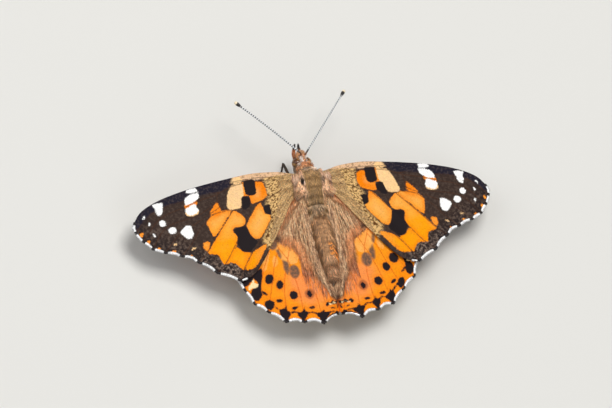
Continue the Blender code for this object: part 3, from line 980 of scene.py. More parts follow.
FORE_MARKS = [
    Blot(B, ((-1, 4), (8.6, 4), (8.4, 1), (8.3, -1), (8.5, -2.8), (9, -4), (8.7, -6.3), (8.9, -7),
        (10.3, -9), (11, -10.4), (8.8, -12.2), (-1, -8))),
    Blot(Tone.TAN, ((1, 0.2), (6, 1), (9, 0.75), (10.2, 0.75), (12, 0.95), (13.2, 1), (13.8, 2.6),
        (1, 2.6))),
    Blot(G, ((13.6, 2.4), (18, 1.9), (24, 0.9), (29, -0.6), (32.4, -3.4), (32.4, -5.4), (31.2, -4.3),
        (29.2, -2.5), (26.5, -1.6), (23.6, -1.2), (20, -0.6), (16.3, -0.3), (14.6, 0.3))),
    Blot(O, ((8.6, 0.1), (9.4, 0.35), (10.2, 0.4), (12.4, 0.7), (13, 0.5), (13, -1.7), (11.6, -1.9),
        (11.5, -3.4), (9.8, -3.2), (8.6, -2.6), (8.35, -1.2))),
    Blot(O, ((17.3, -2.2), (18, -2.8), (19, -4), (18.9, -4.4), (17.3, -4), (17, -3.9))),
    Blot(O, ((16, -3.9), (17.5, -4.1), (19, -4.6), (19.9, -5.6), (19.7, -7), (19.3, -8.3), (18.8, -8.1),
        (15.2, -4.2))),
    Blot(O, ((13.2, -6.1), (13.5, -5.3), (14.2, -4.6), (15, -4.2), (18, -7.6), (20.9, -11), (20.3, -11.4),
        (19.2, -11.7), (18.8, -13.2), (18.4, -13.5), (16, -10.8), (15.4, -9.6), (15.3, -8.8), (15.8, -7.7),
        (15.2, -7.2), (14.3, -7.3), (13.5, -6.9))),
    Blot(O, ((9.9, -3.5), (10.7, -3.9), (11.7, -5.1), (12.7, -6.4), (13.3, -7.4), (13, -8.6),
        (12.6, -9.5), (12, -9.9), (11.2, -9.7), (9.6, -7.9), (8.8, -6.7), (8.7, -6), (9.4, -5.2),
        (9.6, -4.4))),
    Blot(O, ((15.4, -11.1), (16.1, -10.8), (18.3, -13.4), (17.5, -13.4), (16.7, -13.6), (16, -14.5),
        (15.7, -15), (15.3, -14.9), (13.6, -12.2), (14.5, -11.9))),
    Blot(O, ((10.8, -10.9), (13.5, -12.3), (15.2, -15), (14, -15), (13, -14.5), (11.9, -13.2),
        (10.3, -11))),
    Blot(O, ((20.2, -9.3), (20.8, -9), (21.4, -9.2), (21.5, -10), (21.1, -10.7), (20.6, -10.5))),
    Blot(P, ((12.3, 0.65), (14.15, 0.4), (14.9, -0.6), (15.35, -1.6), (15.8, -3.3), (15.5, -3.95),
        (14.3, -4.05), (13.5, -3.9), (13.05, -2.6), (12.45, -1.65))),
    Blot(P, ((11.9, 1), (12.6, 1.75), (14, 1.65), (14.75, 0.9), (14.2, 0.8), (12.4, 0.85))),
    Blot(K, ((10.1, 0.85), (11.95, 0.8), (12.1, -0.8), (12.05, -1.5), (11.4, -1.9), (10.5, -1.85),
        (10.1, -1.3))),
    Blot(K, ((11.5, -2.3), (12.2, -1.9), (12.95, -1.95), (13.1, -3.4), (13.3, -4.2), (12.4, -4.2),
        (11.6, -3.4))),
    Blot(K, ((8.4, -4), (9.5, -4.2), (9.5, -5.5), (8.5, -5.9))),
    Blot(K, ((13.5, -7.3), (15.5, -7.4), (15.6, -8), (15.2, -9), (15.6, -10.2), (15.2, -11), (15, -11.7),
        (13.6, -12), (12.6, -11.1), (11.9, -10.4), (12.4, -9.8), (13, -8.8), (13.2, -7.7))),
    Blot(W, ((20.4, 0.95), (22, 0.75), (22.3, 0.2), (20.3, 0.15))),
    Blot(W, ((20.1, 0), (21.5, -0.15), (22.6, -0.65), (22.9, -1.5), (22.8, -1.98), (21.8, -1.8),
        (21, -1.45), (20.3, -0.95))),
    Blot(W, ((21.2, -1.92), (22.9, -2.5), (23.1, -3.1), (22.7, -3.75), (22, -3.95), (21.1, -3.6),
        (20.75, -3.1), (21, -2.45))),
    Blot(O, ((20.7, -1.35), (22.9, -1.8), (23, -2.65), (20.9, -2.15))),
    Blot(P, ((20.75, -3.1), (21, -3.8), (22, -4.12), (22.95, -3.8), (23.1, -3.1))),
    Blot(W, ((26.7, -0.85), (28.5, -1), (28.2, -1.8), (28.2, -2.6), (27.75, -3.2), (27.1, -2.7),
        (26.9, -1.8))),
    Blot(W, ((22.95, -5.65), (23.7, -5.7), (24.6, -6.4), (24.85, -6.8), (24.3, -7.5), (23.65, -8.1),
        (23, -8), (22.6, -7.25), (22.7, -6.35))),
    spot(W, 27.5, -4.6, 0.58), spot(W, 26.1, -6.1, 0.7, 0.6),
    spot(W, 30.5, -3.1, 0.17, 0.42, 30), spot(W, 29.8, -4.4, 0.17, 0.36, 20),
    spot(W, 29.4, -6.45, 0.17, 0.42, -20),
    spot(P, 26.3, -8.7, 0.14, 0.5, 75), spot(P, 23.2, -9.9, 0.14, 0.45, 70),
    spot(O, 32.15, -4.6, 0.26, 0.42, -5), spot(O, 31.45, -6.1, 0.28, 0.42, 25),
    spot(O, 30.6, -7.6, 0.28, 0.42, 35), spot(O, 29.1, -9.1, 0.26, 0.4, 60),
    spot(O, 26.7, -9.95, 0.24, 0.55, 68), spot(O, 24.0, -11.3, 0.2, 0.5, 55),
]

HIND_MARKS = [
    Blot(B, ((-2, 0), (11, -4), (9.5, -9.6), (6.6, -11.7), (5.2, -12.3), (5.2, -15), (4.5, -17.3),
        (3.2, -18), (2.2, -19.5), (1.2, -21.5), (0.6, -23), (-2, -23))),
    Blot(P, ((5.3, -12.15), (6.85, -11.15), (8.3, -10.1), (9, -10.2), (9.3, -11), (9.1, -11.9),
        (8.7, -13), (8.1, -13.9), (7.3, -14.5), (6, -14.5), (5.35, -13.7))),
    Blot(P, ((12.5, -14.6), (12, -12.9), (11.1, -11.5), (10.4, -11.5), (10.8, -12.8), (11.5, -14.2),
        (12.1, -14.9))),
    Blot(P, ((10.25, -13.3), (9.7, -12.35), (9.15, -13.2), (9.55, -14.2), (10.3, -14.4))),
    spot(G, 6.7, -15.9, 0.95, 1.25),
    Blot(G, ((8.35, -13.4), (7.85, -13.8), (7.45, -14.3), (7.55, -15.4), (7.95, -16.2), (8.3, -15.8),
        (8.5, -14.8))),
    spot(G, 9.4, -10.4, 0.75, 1.0, 30),
    Blot(G, ((9.1, -11.35), (8.7, -11.5), (8.35, -12.6), (8.65, -13.15), (9, -12.5))),
    spot(G, 8.0, -9.3, 0.8, 0.7, 30),
    Blot(K, ((2.6, -22.9), (2.1, -22.45), (1.6, -22.75), (1.1, -22.3), (0.7, -22.6), (0.15, -22.3),
        (0.15, -23), (0.8, -22.95), (1.3, -23.15), (1.8, -22.95), (2.4, -23.35))),
    spot(K, 1.3, -23.75, 0.5, 0.12, 10), spot(K, 0.35, -23.5, 0.16, 0.4, 20),
    spot(K, 11.55, -16.25, 0.8, 0.9, 15), spot(K, 9.9, -17.65, 0.62, 0.82, 10),
    spot(K, 7.85, -20.0, 0.72, 0.8), spot(G, 4.96, -20.4, 0.8, 0.92),
    spot(K, 4.96, -20.4, 0.42, 0.6),
    spot(K, 10.63, -20.45, 0.62, 0.32, 20), spot(K, 8.16, -22.3, 0.58, 0.26),
    spot(K, 5.15, -22.9, 0.56, 0.26),
    Blot(K, ((12.6, -14), (14.6, -14.9), (14.2, -15.8), (13.8, -16.3), (14, -17), (14.7, -17.3),
        (15.1, -18), (15.1, -18.8), (14.7, -19.4), (14.05, -19.7), (13.45, -19.1), (13.4, -18.2),
        (13.4, -17.3), (12.9, -16.1), (12.5, -14.8))),
    Blot(K, ((16.6, -15.6), (15.4, -14.9), (14.5, -15.1), (14.5, -15.7), (15.05, -16.15), (15.35, -16.6),
        (16.3, -16.6))),
    Blot(K, ((13.5, -17.9), (12.9, -18.35), (12.45, -18.85), (12.65, -19.05), (13.3, -18.5))),
    Blot(K, ((12.9, -20.05), (12.2, -19.9), (11.55, -20.5), (11.5, -21.2), (12, -21.9), (12.65, -21.6),
        (13, -20.8))),
    Blot(K, ((10.65, -22.05), (10, -22.05), (9.7, -21.5), (9.55, -22.4), (8.95, -22.9), (8.75, -23.35),
        (9.35, -23.9), (9.8, -24.7), (10.3, -24.4), (10.65, -23.2))),
    Blot(K, ((7.75, -23.35), (6.9, -23.2), (6.55, -22.6), (6.35, -23.3), (5.8, -23.6), (6.2, -24.3),
        (6.6, -24.7), (6.9, -25.4), (7.3, -24.5), (7.6, -24))),
    Blot(K, ((4.55, -24.25), (3.6, -24.1), (3.2, -23.6), (2.95, -24.2), (2.1, -24.4), (2.3, -24.9),
        (2.85, -25.35), (3.4, -26.4), (3.85, -25.95), (4.2, -25))),
    spot(K, 0.7, -24.7, 0.4, 0.4),
    Blot(W, ((14.5, -15.5), (14.4, -16.3), (13.8, -16.8), (14.1, -17.25), (14.65, -17.1), (15.2, -17.5),
        (15.4, -16.9), (14.9, -16.35))),
    Blot(W, ((2, -22.8), (1.5, -22.95), (1, -22.6), (0.5, -22.75), (0.5, -22.9), (1.1, -22.85),
        (1.5, -23.15), (2, -23))),
]

HIND_UNDER_MARKS = [
    Blot(O, ((3.2, -3.4), (7.2, -5.2), (8.6, -7.4), (6.9, -8.6), (4, -7))),
    Blot(O, ((9.4, -6.4), (12.6, -8.6), (13.4, -11.4), (11, -11.6), (9.8, -9.2))),
    Blot(O, ((4, -9.4), (6.4, -10), (7.4, -12.6), (5.4, -14.2), (3.8, -12.4))),
    Blot(O, ((8.4, -11.6), (11, -13.2), (11.6, -15), (9.4, -15.6), (7.6, -14))),
    Blot(O, ((12.4, -12.6), (15, -12.8), (15.6, -15.4), (13.6, -15.6))),
    Blot(O, ((3, -15.4), (5.2, -16.2), (6.6, -17.2), (5, -18.6), (2.6, -18))),
    Blot(B, ((2, -8), (3.2, -9), (3, -14), (1.6, -14))),
    Blot(W, ((7.4, -4.6), (9.2, -6.2), (9.4, -8.4), (8.6, -8), (8.2, -6.6))),
    Blot(W, ((7.2, -8.9), (9.2, -9.6), (9.9, -11.2), (8.2, -11), (7, -10))),
    Blot(W, ((7.6, -15), (9.4, -16.1), (8.6, -17.2), (7, -16.8), (6.4, -15.6))),
    Blot(W, ((11.9, -13.6), (12.6, -15.6), (13.4, -16.4), (12.4, -16.6), (11.4, -15.4))),
    Blot(W, ((3.8, -14.6), (5.6, -15), (6.2, -16), (4.6, -15.8))),
]
EYESPOTS = [
    (11.5, -16.6, (1.15, 1.2), (0.72, 0.78), (0.26,)),
    (9.7, -18.1, (1.0, 1.05), (0.58, 0.62), (0.2,)),
    (7.6, -20.1, (1.15, 1.15), (0.72, 0.76), (0.26,)),
    (4.8, -20.4, (1.05, 1.05), (0.6, 0.64), (0.22,)),
    (13.6, -15.2, (0.7, 0.8), (0.3,)), (2.2, -20.8, (0.7, 0.75), (0.3,)),
]
HIND_UNDER_MARKS += [spot(tone, x, y, *size) for x, y, *sizes in EYESPOTS
                     for tone, size in zip((P, K, W), sizes)]


@dataclass
class Wing:
    """One wing: a thin veined membrane with marked scales and a fringe."""

    side: Side
    name: str
    root: list[Point]
    costa: list[Point]
    teeth: list[Point]
    inner: list[Point]
    veins: list[list[Point]]
    marks: list[Blot]
    under_marks: list[Blot]
    below: float = 0.0
    gutter: float = 0.0
    sweep: float = 0.0
    lean: Point = (0.0, 6.0, 6.0, 1.2)
    push: float = 0.0
    tuck: float = 0.0
    turn_in: float = 0.0
    warmth: list[Point] = field(default_factory=list)
    dusting: list[Point] = field(default_factory=list)
    border: list[Point] = field(default_factory=list)
    thickness: float = 0.11
    vein_rise: float = 0.075
    vein_half: float = 0.16
    pleat: float = 0.14
    slope: float = 0.105
    slope_starts: float = 3.0
    droop: float = 0.55
    droop_reach: float = 17.0
    gutter_half: float = 3.6
    spacing: float = 0.26
    outer: Array = field(default_factory=lambda: np.zeros((0, 4)))
    ring: Array = field(default_factory=lambda: np.zeros((0, 2)))
    trailing: Array = field(default_factory=lambda: np.zeros((0, 2)))
    vein_lines: list[Array] = field(default_factory=list)

    def middle(self, x: Array, y: Array) -> Array:
        """Return the middle surface's height over places on the right side."""
        drop = np.clip(-y / self.droop_reach, 0, 1) ** 2
        hollow = np.clip(1 - np.abs(x) / self.gutter_half, 0, 1) ** 2
        height = (-self.slope * (x - self.slope_starts) - self.droop * drop - self.below
                  - self.gutter * hollow)
        if self.tuck:
            gap = line_distance(np.stack([x, y], axis=1), self.trailing)[0]
            height = height - self.tuck * (1 - ramp(gap, 0.0, 2.4)) * (1 - ramp(x, 11, 17))
        return height

    def relief(self, gap: Array, place: Array) -> Array:
        """Return how far the veins stand up at a distance from the nearest."""
        ridge = np.exp(-(gap / (self.vein_half * (1.15 - 0.6 * place))) ** 2)
        return self.vein_rise * (1 - 0.55 * place) * ridge

    def sag(self, gap: Array, rim: Array) -> Array:
        """Return how far the membrane sags between its veins."""
        return -self.pleat * (1 - np.exp(-(gap / 1.1) ** 2)) * ramp(rim, 0.0, 1.6)

    def margin(self) -> Array:
        """Return the scalloped outer margin: x, y, which arc, and how far along it."""
        rows = []
        previous = np.array(self.costa[-1], float)
        for number, (x, y, bow) in enumerate(self.teeth):
            tooth = np.array((x, y))
            run = (tooth - previous) / np.linalg.norm(tooth - previous)
            inward = np.array((run[1], -run[0]))
            for t in np.linspace(0, 1, 13)[1 if number else 0:]:
                dip = bow * math.sin(math.pi * t) ** 1.1
                place = previous + (tooth - previous) * t + inward * dip
                rows.append((*place, number, t))
            previous = tooth
        return np.array(rows)

    def outline(self) -> Array:
        """Return the closed outline, clockwise from the root."""
        leading = smooth_line(self.root[-1:] + self.costa, 0.5)
        self.outer = self.margin()
        trailing = smooth_line([self.teeth[-1][:2]] + self.inner + self.root[:1], 0.5)
        self.trailing = trailing
        ring = np.vstack([leading[:-1], self.outer[:, :2], trailing[1:],
                          np.array(self.root[1:-1], float)])
        if self.turn_in:
            reach = np.cumsum(np.linalg.norm(np.diff(trailing, axis=0), axis=1))
            rows = [(*place, len(self.teeth), far / self.turn_in)
                    for place, far in zip(trailing[1:], reach) if far < self.turn_in]
            self.outer = np.vstack([self.outer, rows])
        return ring

    def net(self, outline: Array, veins: list[Array]) -> tuple:
        """Triangulate the wing seen from above.

        Args:
            outline: Its closed outline.
            veins: The veins' lines.

        Returns:
            The points and the triangles.
        """
        candidates = []
        for line in veins:
            run = np.gradient(line, axis=0)
            run /= np.linalg.norm(run, axis=1)[:, None]
            across = np.stack([run[:, 1], -run[:, 0]], axis=1)
            candidates += [line, line + across * self.vein_half, line - across * self.vein_half]
        ridge = np.vstack(candidates)
        low, high = outline.min(axis=0), outline.max(axis=0)
        rows = np.arange(low[1], high[1], self.spacing * 0.87)
        grid = []
        for number, y in enumerate(rows):
            x = np.arange(low[0], high[0], self.spacing) + (number % 2) * self.spacing / 2
            grid.append(np.stack([x, np.full(len(x), y)], axis=1))
        every = np.vstack([ridge, np.vstack(grid)])
        ring = np.vstack([outline, outline[:1]])
        inside = within(every, outline) & (line_distance(every, ring)[0] > 0.1)
        every = every[inside]
        tree = kdtree.KDTree(len(every) + len(outline))
        kept = [tuple(p) for p in outline]
        for number, p in enumerate(kept):
            tree.insert((*p, 0), number)
        ranks = np.concatenate([np.zeros(len(outline)), 1 + np.arange(len(every))])
        for number, p in enumerate(every):
            tree.insert((*p, 0), len(kept) + number)
        tree.balance()
        count = len(kept)
        gone = set()
        for number, p in enumerate(every):
            me = count + number
            for _, other, _ in tree.find_range((*p, 0), 0.11 if number < inside[:len(ridge)].sum()
                                               else self.spacing * 0.55):
                if ranks[other] < ranks[me] and other not in gone:
                    gone.add(me)
                    break
        points = kept + [tuple(p) for n, p in enumerate(every) if count + n not in gone]
        edges = [(i, (i + 1) % count) for i in range(count)]
        made = delaunay_2d_cdt([Vector(p) for p in points], edges, [list(range(count))], 1,
                               1e-5)
        return np.array([tuple(p) for p in made[0]]), np.array(made[2])

    def skin_height(self, flat: Array, upper: bool = True) -> Array:
        """Return the height of the wing's face over places on the right side.

        Args:
            flat: Rows of (x, y).
            upper: True for the upper face.

        Returns:
            One height for each row.
        """
        gap, place = self.vein_gap(flat)
        rim = line_distance(flat, self.ring)[0]
        middle = self.middle(flat[:, 0], flat[:, 1]) + self.sag(gap, rim)
        swell = 0.5 * np.clip(1 - (flat[:, 0] - 1.8) / 3.0, 0, 1) ** 2
        if upper:
            return middle + self.thickness / 2 + self.relief(gap, place) + swell * 0.6
        return middle - self.thickness / 2 - self.relief(gap, place) * 0.8 - swell * 0.3

    def vein_gap(self, flat: Array) -> tuple[Array, Array]:
        """Return the distance to the nearest vein, and how far along it that is."""
        gap, place = np.full(len(flat), 9.0), np.zeros(len(flat))
        for line in self.vein_lines:
            found, share = line_distance(flat, line)
            closer = found < gap
            gap, place = np.where(closer, found, gap), np.where(closer, share, place)
        return gap, place

    def map_places(self, flat: Array) -> Array:
        """Return where places lie on the upper half of the wing's baking map."""
        low, size = self.ring.min(axis=0), float(np.ptp(self.ring, axis=0).max()) * 1.02
        tall = float(np.ptp(self.ring[:, 1])) / size
        return (flat - low) / size * (0.96, 0.96 * 0.5 / max(tall, 0.5)) + (0.02, 0.01)

    def place_on(self, flat: Array, height: Array) -> Array:
        """Carry plane places to the wing's own side, swept as it is held."""
        x, y = flat[:, 0], flat[:, 1]
        lean = self.side.value * self.sweep * np.maximum(0, x - 1)
        aside = x * self.side.value + self.push * ramp(x, 11.5, 16.0)
        return np.stack([aside, y + lean, height], axis=1)

    def build(self, finish: Material) -> "Wing":
        """Build the wing's membrane.

        Args:
            finish: Its material.

        Returns:
            The wing itself, ready to carry hair and fringe.
        """
        outline = self.outline()
        self.ring = np.vstack([outline, outline[:1]])
        self.vein_lines = [smooth_line(route, 0.3) for route in self.veins]
        flat, triangles = self.net(outline, self.vein_lines)
        gap = self.vein_gap(flat)[0]
        rim = line_distance(flat, self.ring)[0]
        at_rim = rim < 1e-3
        middle = self.middle(flat[:, 0], flat[:, 1])
        high, low = self.skin_height(flat), self.skin_height(flat, upper=False)
        top = self.place_on(flat, np.where(at_rim, middle + 0.03, high))
        bottom = self.place_on(flat, np.where(at_rim, middle - 0.03, low))
        count = len(flat)
        a, b, c = flat[triangles[:, 0]], flat[triangles[:, 1]], flat[triangles[:, 2]]
        turn = np.cross(b - a, c - a) * self.side.value
        triangles = np.where((turn > 0)[:, None], triangles, triangles[:, ::-1])
        edges = np.vstack([triangles[:, (0, 1)], triangles[:, (1, 2)], triangles[:, (2, 0)]])
        key = edges[:, 0] * count + edges[:, 1]
        back = edges[:, 1] * count + edges[:, 0]
        open_edges = edges[~np.isin(key, back)]
        walls = np.stack([open_edges[:, 1], open_edges[:, 0], open_edges[:, 0] + count,
                          open_edges[:, 1] + count], axis=1)
        mesh = make_mesh(self.name, np.vstack([top, bottom]),
                         [triangles, triangles[:, ::-1] + count, walls])
        outer = line_distance(flat, self.outer[:, :2])[0]
        aside, start, reach, fade = self.lean
        shift = aside * np.clip((flat[:, 0] - start) / reach, 0, 1) * ramp(outer, 0.5, fade)
        seen = flat - np.stack([shift * self.side.value, np.zeros(len(flat))], axis=1)
        for name, start, clouds in (("warm", 0.5, self.warmth), ("dusty", 0.12, self.dusting)):
            values = np.full(len(flat), start)
            for x, y, reach, gain in clouds:
                away = np.hypot(flat[:, 0] - x, flat[:, 1] - y)
                values += gain * np.exp(-(away / reach) ** 2)
            add_values(mesh, name, np.tile(np.clip(values, 0, 1), 2))
        ray = flat - (1.2, 1.5)
        add_values(mesh, "across", np.tile(np.arctan2(ray[:, 0], -ray[:, 1]) * 9.0, 2))
        add_values(mesh, "outward", np.tile(np.hypot(*ray.T) * 0.5, 2))
        for tone in Tone:
            above = field_of(seen, self.marks, tone)
            if tone is Tone.BLACK and self.border:
                above = np.maximum(above, 0.13 - line_distance(flat, np.array(self.border))[0])
            add_values(mesh, tone.value, np.concatenate([
                above, field_of(flat, self.under_marks, tone)]))
        add_values(mesh, "vein", np.tile(gap, 2))
        add_values(mesh, "rim", np.tile(outer, 2))
        add_values(mesh, "under", np.repeat((0.0, 1.0), count))
        upper = self.map_places(flat)
        add_map(mesh, np.vstack([upper, upper + (0, 0.5)]))
        settle(link(self.name, mesh), finish, (self.name,))
        return self


@dataclass
class Fringe:
    """The fringe of long scales round a wing's outer margin."""

    wing: Wing
    step: float = 0.045
    length: tuple[float, float] = (0.38, 0.56)
    width: float = 0.1
    white: Colour = rgb(255, 255, 255)
    black: Colour = rgb(34, 27, 28)

    def build(self, hair: Material) -> None:
        """Build the fringe, white in the hollows and black at the veins."""
        wing = self.wing
        rng = np.random.default_rng(int(abs(wing.outer[0, 0]) * 100) + wing.side.value)
        line, arc, share = wing.outer[:, :2], wing.outer[:, 2], wing.outer[:, 3]
        reach = np.concatenate([[0], np.cumsum(np.linalg.norm(np.diff(line, axis=0), axis=1))])
        spots = np.repeat(np.arange(self.step, reach[-1], self.step), 2)
        spots = spots + rng.normal(0, self.step * 0.4, len(spots))
        flat = np.stack([np.interp(spots, reach, line[:, i]) for i in (0, 1)], axis=1)
        total = arc + share
        where = np.interp(spots, reach, total)
        along = np.gradient(line, axis=0)
        run = np.stack([np.interp(spots, reach, along[:, i]) for i in (0, 1)], axis=1)
        run /= np.linalg.norm(run, axis=1)[:, None]
        outward = np.stack([-run[:, 1], run[:, 0]], axis=1)
        count = len(spots)
        lean = rng.normal(0, 0.12, count)[:, None]
        aim = outward + run * lean + run * 0.12
        height = wing.middle(flat[:, 0], flat[:, 1])
        shift = np.where(np.arange(count) % 2, 0.06, -0.03)
        hollow = where % 1.0
        deep = 0.12 + 0.16 * np.sin(math.pi * hollow) * rng.uniform(0.3, 1.0, count)
        root = wing.place_on(flat - outward * deep[:, None], height + shift)
        along3 = np.stack([aim[:, 0] * wing.side.value, aim[:, 1], np.full(count, -0.1)], axis=1)
        up = np.tile((0.0, 0.0, 1.0), (count, 1))
        pale = ramp(np.minimum(hollow, 1 - hollow), 0.1, 0.2) > rng.uniform(0.3, 0.7, count)
        pale &= where > 0.25
        tint = np.where(pale[:, None], np.array(self.white), np.array(self.black))
        tint = tint * np.exp(rng.normal(0, 0.06, (count, 1)))
        tint[:, 3] = 1
        size = (rng.uniform(*self.length, count) + deep - 0.16) * np.where(pale, 1.0, 0.85)
        if wing.turn_in:
            size *= np.where(where > len(wing.teeth), 0.62, 1.0)
        tufts = Tufts(root, along3, up, size, np.full(count, self.width), tint,
                      wing.map_places(flat), rise=0.0, fall=0.05, sink=0.0, point=0.42,
                      dim=0.0)
        settle(tufts.build("fringe_" + wing.name), hair)


# The wing plans, seen from above on the right side

FORE = dict(
    root=[(1.9, -1.9), (1.8, -0.6), (1.9, 0.5)],
    costa=[(4, 1.15), (6, 1.65), (10, 2.0), (14, 1.75), (18, 1.35), (22, 0.8), (26, -0.05),
           (29, -1.08), (31, -2.25), (32.1, -3.6)],
    teeth=[(32.3, -5.6, -0.25), (31.4, -7.3, -0.1), (30.1, -8.9, 0.12), (28.1, -9.9, 0.08),
           (25.4, -10.95, 0.25), (22.75, -12.5, 0.4), (20.05, -14.8, 0.3), (16.3, -16.85, 0.2)],
    inner=[(15, -16.6), (13.2, -15.6), (11.6, -13.95), (10, -11.95), (6.8, -7.6), (3.9, -3.5)],
    veins=[
        [(2.0, 0.1), (9, 1.05), (14, 1.0), (18, 1.35)],
        [(2.0, -0.2), (8, 0.35), (13, 0.35), (16.4, -0.6), (17, -0.9), (20.2, -1.5),
         (23, -2.3), (27.6, -3.7), (31.4, -7.3)],
        [(13, 0.35), (17, 0.7), (22, 0.8)],
        [(16.4, -0.6), (20.3, -0.1), (26, -0.05)],
        [(20.2, -1.5), (25, -1.3), (31, -2.25)],
        [(25, -1.3), (29.5, -2.9), (32.3, -5.6)],
        [(17, -0.9), (17.1, -2.2), (16.9, -3.2), (15.8, -4.0)],
        [(17.1, -2.2), (21, -4.1), (26.8, -5.4), (30.1, -8.9)],
        [(16.9, -3.2), (22.5, -5.9), (25.2, -7.2), (28.1, -9.9)],
        [(15.8, -4.0), (18.6, -4.5), (21.2, -6.6), (23.2, -9.0), (25.4, -10.95)],
        [(2.0, -0.8), (6, -1.9), (10.3, -3.5), (14.8, -4.1), (15.8, -4.0)],
        [(14.8, -4.1), (18, -7.6), (20.9, -10.9), (22.75, -12.5)],
        [(10.3, -3.5), (13.3, -7), (16, -10.6), (18.3, -13.5), (20.05, -14.8)],
        [(2.0, -1.3), (5.5, -3.6), (8.5, -6.6), (11, -9.7), (13.5, -12.5), (15.4, -15),
         (16.3, -16.85)],
    ],
    marks=FORE_MARKS, under_marks=FORE_MARKS, lean=(0.12, 6.0, 6.0, 1.2), tuck=0.65,
    dusting=[(17.6, -14.6, 2.6, 0.85), (21.4, -12.2, 1.4, 0.5), (26.0, -9.4, 2.2, 0.3),
             (29.6, -6.4, 1.6, 0.2)],
    turn_in=1.7, warmth=[(9.5, -1.2, 2.6, -0.6), (18.0, -11.6, 3.4, 0.7), (15.0, -13.4, 3.2, 0.6),
            (20.8, -9.8, 0.9, -0.3), (17.6, -3.4, 1.6, -0.4), (21.9, -2.8, 2.0, -0.4)])
HIND = dict(
    root=[(1.5, -7), (1.4, -5), (1.6, -3.0), (1.8, -1.9)],
    costa=[(4.5, -1.9), (7, -3.2), (10.5, -5.6), (13.8, -8.6), (16.1, -11.9), (16.7, -14.6)],
    teeth=[(16.0, -17.2, -0.1), (14.85, -20.05, 0.15), (12.6, -22.0, 0.25), (10.0, -24.5, 0.3),
           (6.9, -25.2, 0.5), (3.55, -26.2, 0.6), (0.3, -24.7, 0.35)],
    inner=[(0.03, -24.2), (0.05, -20.0), (0.45, -18.8), (1.2, -17.3), (1.8, -15.3), (1.9, -12)],
    veins=[
        [(2.6, -2.3), (7, -4.2), (12, -8), (16.1, -11.9)],
        [(2.4, -2.7), (6.5, -6), (8.8, -9), (13.5, -14), (16.0, -17.2)],
        [(8.8, -9), (10.2, -11.8), (13, -17), (14.85, -20.05)],
        [(8.2, -11.2), (9.7, -14.2), (10.8, -17.4), (12.6, -22)],
        [(7.1, -13.5), (8.6, -17.5), (9.3, -21), (10, -24.5)],
        [(8.8, -9), (8.2, -11.2), (7.1, -13.5)],
        [(2.4, -3.2), (5.4, -9.5), (7.1, -13.5)],
        [(7.1, -13.5), (6.5, -18), (6.5, -22), (6.9, -25.2)],
        [(5.4, -9.5), (4.6, -14), (3.8, -20), (3.55, -26.2)],
        [(2.4, -4.5), (3.0, -9), (2.9, -14), (2.1, -19), (0.5, -24.7)],
    ],
    marks=HIND_MARKS, under_marks=HIND_UNDER_MARKS, below=1.07, gutter=1.1, sweep=0.068,
    lean=(0.55, 0.0, 12.0, 2.6), push=0.4,
    border=[(11.6, -21.0), (10.9, -21.7), (10.4, -22.1), (8.9, -23.1), (8.1, -22.95),
            (7.5, -23.3), (5.9, -23.75), (5.1, -23.75), (4.3, -24.2), (2.2, -24.45),
            (1.2, -24.4)],
    warmth=[(4.4, -20.0, 3.2, -0.6), (6.4, -17.4, 1.8, -0.35), (13.6, -19.4, 2.6, 0.4),
            (9.0, -23.4, 2.4, 0.35), (5.4, -24.4, 1.4, 0.5), (7.5, -12.5, 2.4, 0.3)])


